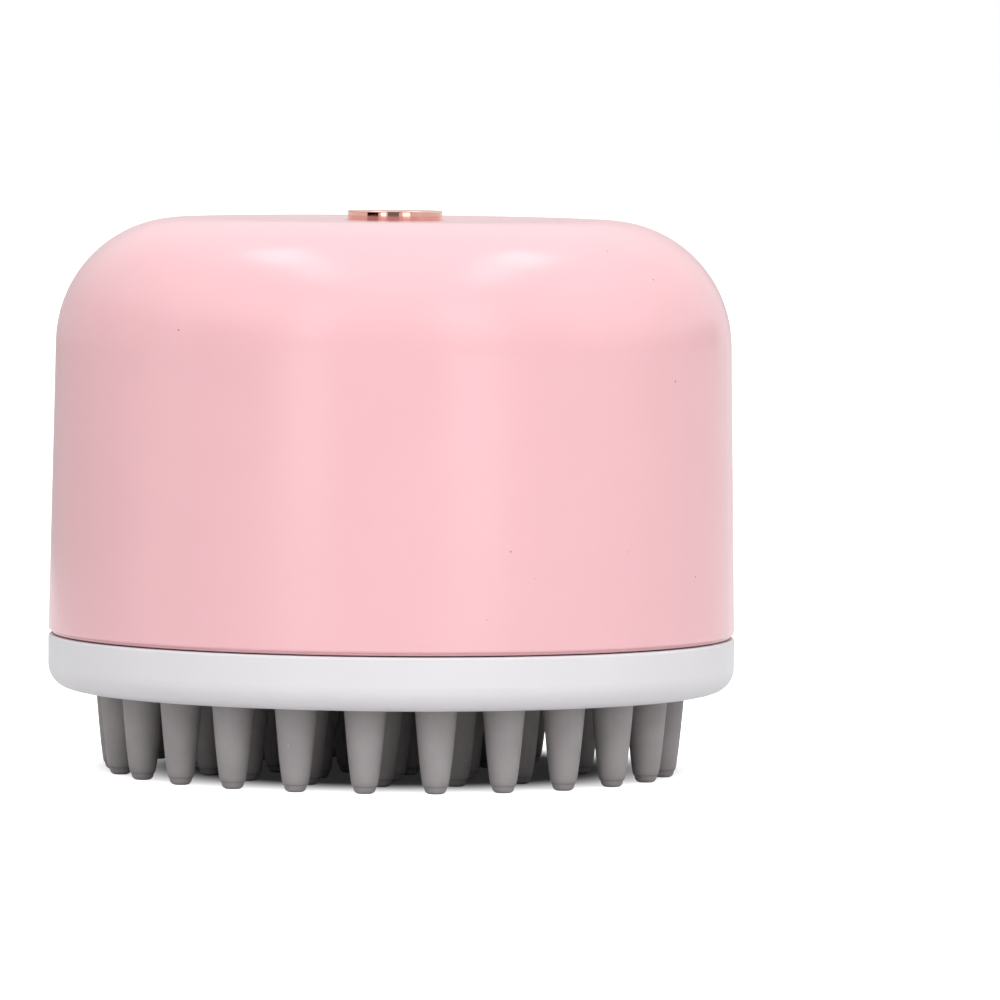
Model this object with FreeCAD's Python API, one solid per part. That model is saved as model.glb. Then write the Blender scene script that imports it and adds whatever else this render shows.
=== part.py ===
import FreeCAD, Part
import math
import os

# A palm-held vibrating pet massage brush: a domed shell with a button on top, and a push-on head
# whose silicone fingers reach the floor. Lengths are millimetres. +Z is up, -Y is the front, and
# the origin is on the floor under the middle of the brush.

# Shared sizes and clearances
OUTER_RADIUS = 46.0  # widest radius, at the foot of the shell and on the head's ring
FIT_GAP = 0.15  # between fixed pieces that nest in each other
TOUCH_GAP = 0.05  # round screws, seals and pins in their holes
RUNNING_GAP = 0.06  # round a shaft or a stem that turns or slides
OVERRUN = 1.0  # how far a cutting tool runs past the face that it cuts

# Silicone pad with its rings of fingers
FINGER_LENGTH = 11.6  # from the floor to the pad's flat face
FINGER_ROOT_RADIUS = 2.9
FINGER_TIP_RADIUS = 1.45
FINGER_TIP_ROUND = 0.7
FINGER_EMBED = 0.6  # how far a finger's root runs on into the pad
FINGER_COUNTS = (25, 16, 9, 4)  # fingers in each ring, the outer ring first
FINGER_RING_SHARES = (1.0, 0.69, 0.413, 0.16)  # of the outer ring's radius
FINGER_PHASES = (-5.2, -2.8, 1.0, 24.0)  # degrees from the front to a ring's first finger
LAND_MARGIN = 0.5  # flat face left outside the outer fingers
PAD_FLANGE_THICKNESS = 2.0

# White ring round the head
RING_HEIGHT = 7.2
RING_WALL = 2.2
RING_LIP_WIDTH = 5.6  # from the ring's outside to the opening for the pad
RING_LIP_THICKNESS = 2.2
RING_FOOT_ROUND = 3.2
RING_TOP_ROUND = 0.4
LAND_RECESS = 0.4  # the pad's flat face above the underside of the lip
BEAD_HEIGHT = 0.6  # snap bead inside the ring
BEAD_BITE = 0.3  # how far the bead enters the plate's groove
BEAD_DROP = 0.4  # from the ring's top edge to the bead

# Plate behind the pad, with the rim that plugs into the shell
PLATE_THICKNESS = 1.8
RIM_WALL = 2.0
RIM_GAP = 0.3  # between the rim and the ring or skirt round it
RIM_TOP_GAP = 0.1  # between the rim's top and the cover
PLATE_RIB_COUNT = 6
PLATE_RIB_THICKNESS = 1.6
PLATE_RIB_HEIGHT = 4.0
PLATE_HUB_RADIUS = 6.0
GRIP_SECTION_RADIUS = 0.6  # rubber ring round the rim
GRIP_RISE = 2.6  # from the shell's foot to the rubber ring

# Domed shell
SEAM_GAP = 0.5  # between the ring and the foot of the shell
SEAM_DEPTH = 0.6  # from the shell's outside to the tongue under its foot
SEAM_SLIT = 0.2  # left open between the tongue and the ring
SHELL_HEIGHT = 55.3
SHELL_WALL = 2.2
SHELL_DRAFT = 1.05  # how much the side leans in over the shell's height
SHELL_CROWN_ROUND = 16.9
SHELL_FOOT_ROUND = 0.4
TOP_DISH_RADIUS = 27.5  # shallow dish in the shell's top, round the button
TOP_DISH_DEPTH = 0.2
SKIRT_DEPTH = 6.7  # open foot of the shell, below the cover

# Screws: one size, in four lengths
SCREW_SHANK_RADIUS = 1.05
SCREW_HEAD_RADIUS = 2.0
SCREW_HEAD_HEIGHT = 1.2
SCREW_HEAD_ROUND = 0.5
SCREW_SLOT_WIDTH = 0.5
SCREW_SLOT_DEPTH = 0.5
SCREW_CLEARANCE = 0.25  # round a shank or a head that passes freely
COVER_SCREW_LENGTH = 8.0
BOARD_SCREW_LENGTH = 6.0
CHASSIS_SCREW_LENGTH = 5.0
STRAP_SCREW_LENGTH = 4.0

# Cover that closes the shell from below, and its seal
COVER_THICKNESS = 2.4
SEAL_WIDTH = 1.3
SEAL_HEIGHT = 1.0
LEDGE_WIDTH = 1.8  # ledge in the shell that the cover and its seal press against
LEDGE_HEIGHT = 1.5
BOSS_INSET = 4.0  # from the skirt's wall to a screw boss
BOSS_RADIUS = 3.0
BOSS_HEIGHT = 10.0
BOSS_RIB_THICKNESS = 2.4
BOSS_ANGLES = (0, 90, 180, 270)

# Chassis that carries the motor and the cell
STANDOFF_HEIGHT = 2.0
STANDOFF_RADIUS = 2.8
STANDOFF_X = 17.5
STANDOFF_GAP = 0.5  # between a screw's head and the motor's rail
CHASSIS_THICKNESS = 2.0
CHASSIS_MARGIN = 1.0  # between the chassis and the shell's bosses
CHASSIS_EDGE = 0.8  # chassis left outside the motor's and the cell's bays
BAY_GAP = 0.55  # between the motor's bay and the cell's bay
RAIL_THICKNESS = 1.6
RAIL_HEIGHT = 6.0
RAIL_LENGTH = 5.0
STOP_GAP = 0.4  # between the motor's nose and the stop under it
CELL_STOP_HEIGHT = 3.6

# Motor, lying along X
MOTOR_X = -16.0  # the can's open end
MOTOR_RADIUS = 7.75
MOTOR_FLAT = 12.0  # across the flats, top to bottom
MOTOR_LENGTH = 20.0
MOTOR_WALL = 0.7
MOTOR_NOSE_RADIUS = 3.0
MOTOR_NOSE_LENGTH = 1.5
END_CAP_THICKNESS = 2.2
BUSH_RADIUS = 2.0
SHAFT_RADIUS = 1.0
SHAFT_REACH = 11.0  # past the motor's nose
TERMINAL_LENGTH = 2.5
TERMINAL_WIDTH = 2.4
TERMINAL_THICKNESS = 0.4
TERMINAL_OFFSET = 4.2  # from the motor's axis
MAGNET_LENGTH = 12.0
MAGNET_THICKNESS = 1.6
MAGNET_HEIGHT = 8.6
ARMATURE_LENGTH = 10.0
ARMATURE_GAP = 0.5
ARMATURE_SLOT_WIDTH = 1.4
ARMATURE_SLOT_COUNT = 3
ARMATURE_HUB_RADIUS = 2.0
WEIGHT_LENGTH = 9.0
WEIGHT_HUB_RADIUS = 2.6
WEIGHT_GAP = 1.0  # between the motor's nose and the weight
WEIGHT_CLEARANCE = 0.55  # between the turning weight and the chassis
STRAP_THICKNESS = 1.0
STRAP_WIDTH = 8.0
STRAP_FOOT = 6.0

# Rechargeable cell, lying along X behind the motor
BATTERY_RADIUS = 5.1
BATTERY_LENGTH = 42.0
BATTERY_EDGE_ROUND = 0.8
FOAM_THICKNESS = 1.4
FOAM_SEAT = 0.6  # foam left under the lowest line of the cell
FOAM_WIDTH = 6.0
TAB_THICKNESS = 0.3
TAB_WIDTH = 3.6
TAB_HEIGHT = 6.0

# Circuit board, hung from the roof of the shell
BOARD_THICKNESS = 1.6
BOARD_MARGIN = 5.0  # between the board's edge and the shell
TONGUE_WIDTH = 24.0  # tongue of the board that carries the charging socket
TONGUE_GAP = 0.4
POST_LENGTH = 14.2
POST_RADIUS = 2.6
POST_INSET = 5.0  # from the board's edge to a post
POST_ANGLES = (45, 135, 225, 315)
CHIP_LENGTH = 5.0
CHIP_WIDTH = 4.4
CHIP_HEIGHT = 1.2
CHIP_PLACE_SHARES = ((-0.5, 0.2), (0.45, -0.3), (-0.25, -0.5))  # of the board's radius
COIL_RADIUS = 2.6
COIL_HEIGHT = 3.0
COIL_PLACE_SHARES = (0.35, 0.42)  # of the board's radius

# Charging socket and charge light, in the back wall
USB_WIDTH = 8.94
USB_HEIGHT = 3.26
USB_LENGTH = 7.35
USB_WALL = 0.3
USB_SINK = 0.4  # the socket's mouth below the shell's outside
USB_BASE = 1.4  # plastic base that closes the socket's rear
USB_BLADE_WIDTH = 6.69
USB_BLADE_THICKNESS = 0.7
USB_BLADE_LENGTH = 4.45
PORT_GAP = 0.2  # between the socket and its hole in the shell
PIPE_RADIUS = 1.0
PIPE_OFFSET = 4.0  # from the socket's side to the light pipe
PIPE_GAP = 0.3  # between the lamp and the light pipe
PIPE_TAIL = 1.0  # light pipe left inside the shell's wall
LAMP_LENGTH = 1.6
LAMP_WIDTH = 1.2
LAMP_HEIGHT = 2.2

# Push button and the switch under it
BUTTON_RADIUS = 6.35
BUTTON_PROUD = 1.1  # above the shell's top
BUTTON_SKIRT = 1.0  # below the shell's top
BUTTON_TRAVEL = 0.5
BUTTON_GAP = 0.2
BUTTON_WELL_BEVEL = 0.3  # round the well's rim
BUTTON_EDGE_ROUND = 0.25
BUTTON_DISH_DEPTH = 0.35
BUTTON_DISH_MARGIN = 0.9  # flat left round the dish
BUTTON_PAD_HEIGHT = 1.6  # thicker roof under the button
BUTTON_PAD_MARGIN = 2.5
STEM_RADIUS = 3.0
GUIDE_WALL = 2.0
GUIDE_LENGTH = 5.8  # below the roof
STEM_SEAL_SECTION = 0.45
STEM_SEAL_DROP = 2.8  # from the roof to the rubber ring on the stem
CLIP_THICKNESS = 0.6
CLIP_WIDTH = 1.6
CLIP_BITE = 0.7
CLIP_MOUTH_SHARE = 0.85  # of the groove's diameter
SWITCH_SIDE = 6.0
SWITCH_HEIGHT = 3.5
PLUNGER_RADIUS = 1.75
PLUNGER_PROUD = 1.5
PLUNGER_DEPTH = 1.2

# Insulated leads
LEAD_RADIUS = 0.6
LEAD_REACH = 3.2  # straight out from a terminal before the lead turns up
LEAD_BEND = 2.4
LEAD_RISE = 1.5  # a cell's lead leaves above the middle of its tab

# Heights, from the floor up
LAND_Z = FINGER_LENGTH
RING_Z = LAND_Z - LAND_RECESS
LIP_TOP = RING_Z + RING_LIP_THICKNESS
PLATE_Z = LIP_TOP + PAD_FLANGE_THICKNESS
RING_TOP = RING_Z + RING_HEIGHT
SHELL_Z = RING_TOP + SEAM_GAP
SHELL_TOP = SHELL_Z + SHELL_HEIGHT
ROOF_Z = SHELL_TOP - SHELL_WALL
COVER_Z = SHELL_Z + SKIRT_DEPTH
COVER_TOP = COVER_Z + COVER_THICKNESS
CHASSIS_Z = COVER_TOP + STANDOFF_HEIGHT
CHASSIS_TOP = CHASSIS_Z + CHASSIS_THICKNESS
MOTOR_Z = CHASSIS_TOP + MOTOR_FLAT / 2
BATTERY_Z = CHASSIS_TOP + FOAM_SEAT + BATTERY_RADIUS
BOARD_TOP = ROOF_Z - POST_LENGTH
BOARD_Z = BOARD_TOP - BOARD_THICKNESS
USB_Z = BOARD_Z - USB_HEIGHT / 2

# Radii that follow from the sizes above
LIP_RADIUS = OUTER_RADIUS - RING_LIP_WIDTH
LAND_RADIUS = LIP_RADIUS - FIT_GAP
FINGER_RING_RADIUS = LAND_RADIUS - LAND_MARGIN - FINGER_ROOT_RADIUS
RING_BORE = OUTER_RADIUS - RING_WALL
SKIRT_RADIUS = OUTER_RADIUS - SHELL_WALL
RIM_RADIUS = min(RING_BORE, SKIRT_RADIUS) - RIM_GAP
BEAD_RADIUS = RIM_RADIUS - BEAD_BITE
COVER_RADIUS = SKIRT_RADIUS - FIT_GAP
SEAL_RADIUS = COVER_RADIUS - SEAL_WIDTH
BOSS_RING_RADIUS = SKIRT_RADIUS - BOSS_INSET
CHASSIS_RADIUS = BOSS_RING_RADIUS - BOSS_RADIUS - CHASSIS_MARGIN
PILOT_RADIUS = SCREW_SHANK_RADIUS + TOUCH_GAP
PASS_RADIUS = SCREW_SHANK_RADIUS + SCREW_CLEARANCE
HEAD_WELL_RADIUS = SCREW_HEAD_RADIUS + SCREW_CLEARANCE
HEAD_WELL_DEPTH = SCREW_HEAD_HEIGHT + TOUCH_GAP
STEM_BORE = STEM_RADIUS + RUNNING_GAP
GUIDE_RADIUS = STEM_BORE + GUIDE_WALL
BUTTON_WELL_RADIUS = BUTTON_RADIUS + BUTTON_GAP
BUTTON_PAD_RADIUS = BUTTON_WELL_RADIUS + BUTTON_PAD_MARGIN
MOTOR_INSIDE = MOTOR_RADIUS - MOTOR_WALL
MOTOR_INSIDE_FLAT = MOTOR_FLAT - 2 * MOTOR_WALL
MAGNET_RADIUS = MOTOR_INSIDE - MAGNET_THICKNESS
ARMATURE_RADIUS = min(MOTOR_INSIDE_FLAT / 2, MAGNET_RADIUS) - ARMATURE_GAP
WEIGHT_RADIUS = MOTOR_FLAT / 2 - WEIGHT_CLEARANCE
MOTOR_FRONT = MOTOR_X + MOTOR_LENGTH
NOSE_END = MOTOR_FRONT + MOTOR_NOSE_LENGTH
MOTOR_MIDDLE = MOTOR_X + MOTOR_LENGTH / 2

# Bays on the chassis: the motor's in front, the cell's behind it, both together in the middle
STRAP_REACH = MOTOR_RADIUS + FIT_GAP + STRAP_THICKNESS + STRAP_FOOT
STRAP_SCREW_OFFSET = STRAP_REACH - STRAP_FOOT / 2
MOTOR_RAIL_REACH = MOTOR_RADIUS + FIT_GAP + RAIL_THICKNESS
BATTERY_RAIL_REACH = BATTERY_RADIUS + FIT_GAP + RAIL_THICKNESS
BAYS_HALF_DEPTH = STRAP_REACH + BATTERY_RAIL_REACH + BAY_GAP / 2
MOTOR_Y = STRAP_REACH - BAYS_HALF_DEPTH
BATTERY_Y = BAYS_HALF_DEPTH - BATTERY_RAIL_REACH
STANDOFF_BACK_Y = (MOTOR_Y + MOTOR_RAIL_REACH + BATTERY_Y - BATTERY_RAIL_REACH) / 2
STANDOFF_FRONT_Y = MOTOR_Y - MOTOR_RAIL_REACH - STANDOFF_GAP - SCREW_HEAD_RADIUS

V = FreeCAD.Vector
X = V(1, 0, 0)
Y = V(0, 1, 0)
Z = V(0, 0, 1)


def outer_radius_at(z):
    """The shell's outside radius on its leaning side."""
    return OUTER_RADIUS - SHELL_DRAFT * (z - SHELL_Z) / SHELL_HEIGHT


def cavity_radius_at(z):
    """The shell's inside radius on its leaning side."""
    return SKIRT_RADIUS - SHELL_DRAFT * (z - SHELL_Z) / (ROOF_Z - SHELL_Z)


BOARD_RADIUS = cavity_radius_at(BOARD_TOP) - BOARD_MARGIN
POST_RING_RADIUS = BOARD_RADIUS - POST_INSET
TONGUE_Y = math.sqrt(cavity_radius_at(BOARD_TOP) ** 2 - (TONGUE_WIDTH / 2) ** 2) - TONGUE_GAP
USB_MOUTH_Y = outer_radius_at(USB_Z) - USB_SINK
USB_REAR_Y = USB_MOUTH_Y - USB_LENGTH
PIPE_X = USB_WIDTH / 2 + PIPE_OFFSET
PIPE_Y = math.sqrt(cavity_radius_at(USB_Z) ** 2 - PIPE_X**2) - PIPE_TAIL


def polar(radius, degrees, z):
    """A place round the brush's axis, counted from +X."""
    turn = math.radians(degrees)
    return V(radius * math.cos(turn), radius * math.sin(turn), z)


def standoff_places(z):
    """The four places where the chassis is screwed to the cover."""
    return [V(x, y, z) for x in (-STANDOFF_X, STANDOFF_X) for y in (STANDOFF_FRONT_Y, STANDOFF_BACK_Y)]


def cylinder(radius, height, base, axis=Z):
    return Part.makeCylinder(radius, height, base, axis)


def tube(outer, inner, height, base, axis=Z):
    start = base - axis * OVERRUN
    return cylinder(outer, height, base, axis).cut(cylinder(inner, height + 2 * OVERRUN, start, axis))


def block(size_x, size_y, size_z, middle_x, middle_y, base_z):
    corner = V(middle_x - size_x / 2, middle_y - size_y / 2, base_z)
    return Part.makeBox(size_x, size_y, size_z, corner)


def round_rims(shape, radius, z):
    """Rounds the outermost circular edge that lies at height z."""
    level = [edge for edge in shape.Edges if edge.BoundBox.ZLength < TOUCH_GAP]
    there = [edge for edge in level if abs(edge.BoundBox.ZMin - z) < TOUCH_GAP]
    return shape.makeFillet(radius, [max(there, key=lambda edge: edge.BoundBox.XLength)])


def stadium(width, height, middle, length):
    """A bar along +Y from middle, with round ends to its section."""
    radius = height / 2
    half = width / 2 - radius
    left, right = middle - X * half, middle + X * half
    edges = [
        Part.LineSegment(left + Z * radius, right + Z * radius).toShape(),
        Part.Arc(right + Z * radius, right + X * radius, right - Z * radius).toShape(),
        Part.LineSegment(right - Z * radius, left - Z * radius).toShape(),
        Part.Arc(left - Z * radius, left - X * radius, left + Z * radius).toShape(),
    ]
    return Part.Face(Part.Wire(edges)).extrude(Y * length)


def screw(length, seat, axis):
    """A pan-head screw whose head stands on the seat, with its shank along the axis."""
    top = seat - axis * SCREW_HEAD_HEIGHT
    head = cylinder(SCREW_HEAD_RADIUS, SCREW_HEAD_HEIGHT, top, axis)
    head = round_rims(head, SCREW_HEAD_ROUND, top.z)
    slot_z = top.z + min(axis.z * SCREW_SLOT_DEPTH, 0)
    for along_x, along_y in ((SCREW_HEAD_RADIUS, SCREW_SLOT_WIDTH), (SCREW_SLOT_WIDTH, SCREW_HEAD_RADIUS)):
        head = head.cut(block(along_x, along_y, SCREW_SLOT_DEPTH, seat.x, seat.y, slot_z))
    return head.fuse(cylinder(SCREW_SHANK_RADIUS, length, seat, axis)).removeSplitter()


def lead(start, out, end_z):
    """A lead that runs straight out from a terminal and bends up to the board."""
    corner = start + out * LEAD_REACH
    bend_in, bend_out = corner - out * LEAD_BEND, corner + Z * LEAD_BEND
    bend_middle = corner + (Z - out) * (LEAD_BEND * (1 - math.cos(math.pi / 4)))
    end = V(corner.x, corner.y, end_z)
    path = Part.Wire(
        [
            Part.LineSegment(start, bend_in).toShape(),
            Part.Arc(bend_in, bend_middle, bend_out).toShape(),
            Part.LineSegment(bend_out, end).toShape(),
        ]
    )
    section = Part.Wire([Part.Circle(start, out, LEAD_RADIUS).toShape()])
    solid = path.makePipeShell([section], True, False)
    plain_volume = math.pi * LEAD_RADIUS**2 * path.Length
    print("lead's volume over section times length:", round(solid.Volume / plain_volume, 4))
    return solid


def finger():
    """One tapered finger, standing on its rounded tip at the origin."""
    slope = (FINGER_ROOT_RADIUS - FINGER_TIP_RADIUS) / FINGER_LENGTH
    root = FINGER_ROOT_RADIUS + slope * FINGER_EMBED
    cone = Part.makeCone(FINGER_TIP_RADIUS, root, FINGER_LENGTH + FINGER_EMBED)
    return round_rims(cone, FINGER_TIP_ROUND, 0)


def silicone_pad():
    pad = cylinder(RING_BORE - FIT_GAP, PAD_FLANGE_THICKNESS, V(0, 0, LIP_TOP))
    pad = pad.fuse(cylinder(LAND_RADIUS, LIP_TOP - LAND_Z, V(0, 0, LAND_Z)))
    one = finger()
    fingers = []
    for count, share, phase in zip(FINGER_COUNTS, FINGER_RING_SHARES, FINGER_PHASES):
        for i in range(count):
            place = polar(FINGER_RING_RADIUS * share, phase + 360 * i / count - 90, 0)
            fingers.append(one.translated(place))
    return pad.multiFuse(fingers).removeSplitter()


def head_ring():
    ring = cylinder(OUTER_RADIUS, RING_HEIGHT, V(0, 0, RING_Z))
    ring = round_rims(ring, RING_FOOT_ROUND, RING_Z)
    ring = round_rims(ring, RING_TOP_ROUND, RING_TOP)
    ring = ring.cut(cylinder(RING_BORE, RING_HEIGHT, V(0, 0, LIP_TOP)))
    ring = ring.cut(cylinder(LIP_RADIUS, RING_HEIGHT, V(0, 0, RING_Z - OVERRUN)))
    bead_base = V(0, 0, RING_TOP - BEAD_DROP - BEAD_HEIGHT)
    bead = tube(RING_BORE + RING_WALL / 2, BEAD_RADIUS, BEAD_HEIGHT, bead_base)
    return ring.fuse(bead).removeSplitter()


def pad_plate():
    """A shallow cup: the pad's backing plate and the rim that plugs into the shell."""
    rim_top = COVER_Z - RIM_TOP_GAP
    plate_top = PLATE_Z + PLATE_THICKNESS
    bore = RIM_RADIUS - RIM_WALL
    plate = cylinder(RIM_RADIUS, rim_top - PLATE_Z, V(0, 0, PLATE_Z))
    plate = plate.cut(cylinder(bore, rim_top, V(0, 0, plate_top)))
    hub = cylinder(PLATE_HUB_RADIUS, PLATE_RIB_HEIGHT, V(0, 0, plate_top))
    ribs = [hub]
    for i in range(PLATE_RIB_COUNT):
        length = bore + RIM_WALL / 2
        rib = block(length, PLATE_RIB_THICKNESS, PLATE_RIB_HEIGHT, length / 2, 0, plate_top)
        rib.rotate(V(0, 0, 0), Z, 360 * i / PLATE_RIB_COUNT)
        ribs.append(rib)
    plate = plate.multiFuse(ribs)
    outside = RIM_RADIUS + OVERRUN
    slot_height = BEAD_HEIGHT + 2 * FIT_GAP
    slot_base = V(0, 0, RING_TOP - BEAD_DROP - BEAD_HEIGHT - FIT_GAP)
    plate = plate.cut(tube(outside, BEAD_RADIUS - FIT_GAP, slot_height, slot_base))
    half = GRIP_SECTION_RADIUS + TOUCH_GAP
    grip_base = V(0, 0, SHELL_Z + GRIP_RISE - half)
    return plate.cut(tube(outside, grip_centre() - half, 2 * half, grip_base)).removeSplitter()


def grip_centre():
    """The radius of the rubber ring's centreline, which fills the rim's groove up to the skirt."""
    return SKIRT_RADIUS - TOUCH_GAP - GRIP_SECTION_RADIUS


def head_grip_ring():
    return Part.makeTorus(grip_centre(), GRIP_SECTION_RADIUS, V(0, 0, SHELL_Z + GRIP_RISE))


def dome(foot_radius, top_radius, foot_z, top_z, crown):
    cone = Part.makeCone(foot_radius, top_radius, top_z - foot_z, V(0, 0, foot_z))
    return round_rims(cone, crown, top_z)


def dish(radius, depth, top_z):
    """A ball that cuts a shallow dish into a flat top."""
    ball = (radius**2 + depth**2) / (2 * depth)
    return Part.makeSphere(ball, V(0, 0, top_z - depth + ball))


def shell_fittings():
    """What stands inside the shell: ledge, screw bosses, board posts and the button's guide."""
    into_wall = SKIRT_RADIUS + SHELL_WALL / 2
    fittings = [tube(into_wall, SKIRT_RADIUS - LEDGE_WIDTH, LEDGE_HEIGHT, V(0, 0, COVER_TOP))]
    reach = into_wall - BOSS_RING_RADIUS
    for angle in BOSS_ANGLES:
        fittings.append(cylinder(BOSS_RADIUS, BOSS_HEIGHT, polar(BOSS_RING_RADIUS, angle, COVER_TOP)))
        middle = BOSS_RING_RADIUS + reach / 2
        rib = block(reach, BOSS_RIB_THICKNESS, BOSS_HEIGHT, middle, 0, COVER_TOP)
        rib.rotate(V(0, 0, 0), Z, angle)
        fittings.append(rib)
    into_roof = SHELL_WALL / 2
    roof_middle = SHELL_TOP - into_roof
    crown = SHELL_CROWN_ROUND - into_roof
    middle_of_wall = dome(into_wall, into_wall - SHELL_DRAFT, SHELL_Z, roof_middle, crown)
    for angle in POST_ANGLES:
        place = polar(POST_RING_RADIUS, angle, BOARD_TOP)
        post = cylinder(POST_RADIUS, POST_LENGTH + into_roof, place)
        fittings.append(post.common(middle_of_wall))
    pad_base = V(0, 0, ROOF_Z - BUTTON_PAD_HEIGHT)
    fittings.append(cylinder(BUTTON_PAD_RADIUS, BUTTON_PAD_HEIGHT + into_roof, pad_base))
    fittings.append(cylinder(GUIDE_RADIUS, GUIDE_LENGTH + into_roof, V(0, 0, ROOF_Z - GUIDE_LENGTH)))
    return fittings


def shell_holes():
    """What is cut out of the shell: screw holes, the button's well and the holes in the back wall."""
    boss_pilot = COVER_SCREW_LENGTH - COVER_THICKNESS + HEAD_WELL_DEPTH + FIT_GAP
    holes = [cylinder(PILOT_RADIUS, boss_pilot, polar(BOSS_RING_RADIUS, a, COVER_TOP)) for a in BOSS_ANGLES]
    post_pilot = BOARD_SCREW_LENGTH - BOARD_THICKNESS + FIT_GAP
    holes += [cylinder(PILOT_RADIUS, post_pilot, polar(POST_RING_RADIUS, a, BOARD_TOP)) for a in POST_ANGLES]
    well_z = SHELL_TOP - BUTTON_SKIRT - BUTTON_TRAVEL - FIT_GAP
    holes.append(cylinder(BUTTON_WELL_RADIUS, SHELL_WALL + OVERRUN, V(0, 0, well_z)))
    holes.append(dish(TOP_DISH_RADIUS, TOP_DISH_DEPTH, SHELL_TOP))
    bevel_depth = TOP_DISH_DEPTH + BUTTON_WELL_BEVEL
    bevel_height = bevel_depth + OVERRUN
    bevel_base = V(0, 0, SHELL_TOP - bevel_depth)
    bevel_radius = BUTTON_WELL_RADIUS + bevel_height
    holes.append(Part.makeCone(BUTTON_WELL_RADIUS, bevel_radius, bevel_height, bevel_base))
    guide_z = ROOF_Z - GUIDE_LENGTH - OVERRUN
    holes.append(cylinder(STEM_BORE, SHELL_TOP - guide_z, V(0, 0, guide_z)))
    through = SHELL_WALL + USB_LENGTH
    port = V(0, USB_REAR_Y, USB_Z)
    holes.append(stadium(USB_WIDTH + 2 * PORT_GAP, USB_HEIGHT + 2 * PORT_GAP, port, through))
    holes.append(cylinder(PIPE_RADIUS + TOUCH_GAP, through, V(PIPE_X, PIPE_Y, USB_Z), Y))
    return holes


def shell_tongue():
    """The thin rim under the shell's foot that closes the seam behind its shadow."""
    height = SEAM_GAP - SEAM_SLIT + SHELL_FOOT_ROUND
    return tube(OUTER_RADIUS - SEAM_DEPTH, SKIRT_RADIUS, height, V(0, 0, RING_TOP + SEAM_SLIT))


def shell_outside():
    return dome(OUTER_RADIUS, OUTER_RADIUS - SHELL_DRAFT, SHELL_Z, SHELL_TOP, SHELL_CROWN_ROUND)


def top_shell():
    outside = round_rims(shell_outside(), SHELL_FOOT_ROUND, SHELL_Z)
    crown = SHELL_CROWN_ROUND - SHELL_WALL
    cavity = dome(SKIRT_RADIUS, SKIRT_RADIUS - SHELL_DRAFT, SHELL_Z, ROOF_Z, crown)
    skirt = cylinder(SKIRT_RADIUS, COVER_TOP - SHELL_Z + OVERRUN, V(0, 0, SHELL_Z - OVERRUN))
    shell = outside.cut(cavity).cut(skirt).multiFuse([shell_tongue(), *shell_fittings()])
    for hole in shell_holes():
        shell = shell.cut(hole)
    return shell.removeSplitter()


def bottom_cover():
    cover = cylinder(COVER_RADIUS, COVER_THICKNESS, V(0, 0, COVER_Z))
    step = tube(COVER_RADIUS + OVERRUN, SEAL_RADIUS, SEAL_HEIGHT + OVERRUN, V(0, 0, COVER_TOP - SEAL_HEIGHT))
    places = standoff_places(COVER_TOP)
    standoffs = [cylinder(STANDOFF_RADIUS, STANDOFF_HEIGHT, place) for place in places]
    cover = cover.cut(step).multiFuse(standoffs)
    for angle in BOSS_ANGLES:
        below = polar(BOSS_RING_RADIUS, angle, COVER_Z - OVERRUN)
        cover = cover.cut(cylinder(PASS_RADIUS, COVER_THICKNESS + 2 * OVERRUN, below))
        cover = cover.cut(cylinder(HEAD_WELL_RADIUS, HEAD_WELL_DEPTH + OVERRUN, below))
    pilot = CHASSIS_SCREW_LENGTH - CHASSIS_THICKNESS + FIT_GAP
    for place in standoff_places(CHASSIS_Z):
        cover = cover.cut(cylinder(PILOT_RADIUS, pilot, place, -Z))
    return cover.removeSplitter()


def cover_seal():
    base = V(0, 0, COVER_TOP - SEAL_HEIGHT)
    return tube(SKIRT_RADIUS - TOUCH_GAP, SEAL_RADIUS + TOUCH_GAP, SEAL_HEIGHT, base)


def cover_screws():
    seat_z = COVER_Z + HEAD_WELL_DEPTH
    return [screw(COVER_SCREW_LENGTH, polar(BOSS_RING_RADIUS, a, seat_z), Z) for a in BOSS_ANGLES]


def chassis_rails():
    """Upright ribs that keep the motor and the cell in place."""
    rails = []
    side = MOTOR_RAIL_REACH - RAIL_THICKNESS / 2
    for x in (MOTOR_X + RAIL_LENGTH / 2, MOTOR_FRONT - RAIL_LENGTH / 2):
        for y in (MOTOR_Y - side, MOTOR_Y + side):
            rails.append(block(RAIL_LENGTH, RAIL_THICKNESS, RAIL_HEIGHT, x, y, CHASSIS_TOP))
    beyond = FIT_GAP + RAIL_THICKNESS / 2
    stop_height = MOTOR_FLAT / 2 - MOTOR_NOSE_RADIUS - STOP_GAP
    for x in (MOTOR_X - END_CAP_THICKNESS - beyond, MOTOR_FRONT + beyond):
        rails.append(block(RAIL_THICKNESS, MOTOR_RADIUS, stop_height, x, MOTOR_Y, CHASSIS_TOP))
    side = BATTERY_RAIL_REACH - RAIL_THICKNESS / 2
    for y in (BATTERY_Y - side, BATTERY_Y + side):
        rails.append(block(BATTERY_LENGTH, RAIL_THICKNESS, RAIL_HEIGHT, 0, y, CHASSIS_TOP))
    end = BATTERY_LENGTH / 2 + TAB_THICKNESS + beyond
    for x in (-end, end):
        rails.append(block(RAIL_THICKNESS, BATTERY_RADIUS, CELL_STOP_HEIGHT, x, BATTERY_Y, CHASSIS_TOP))
    return rails


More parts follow.
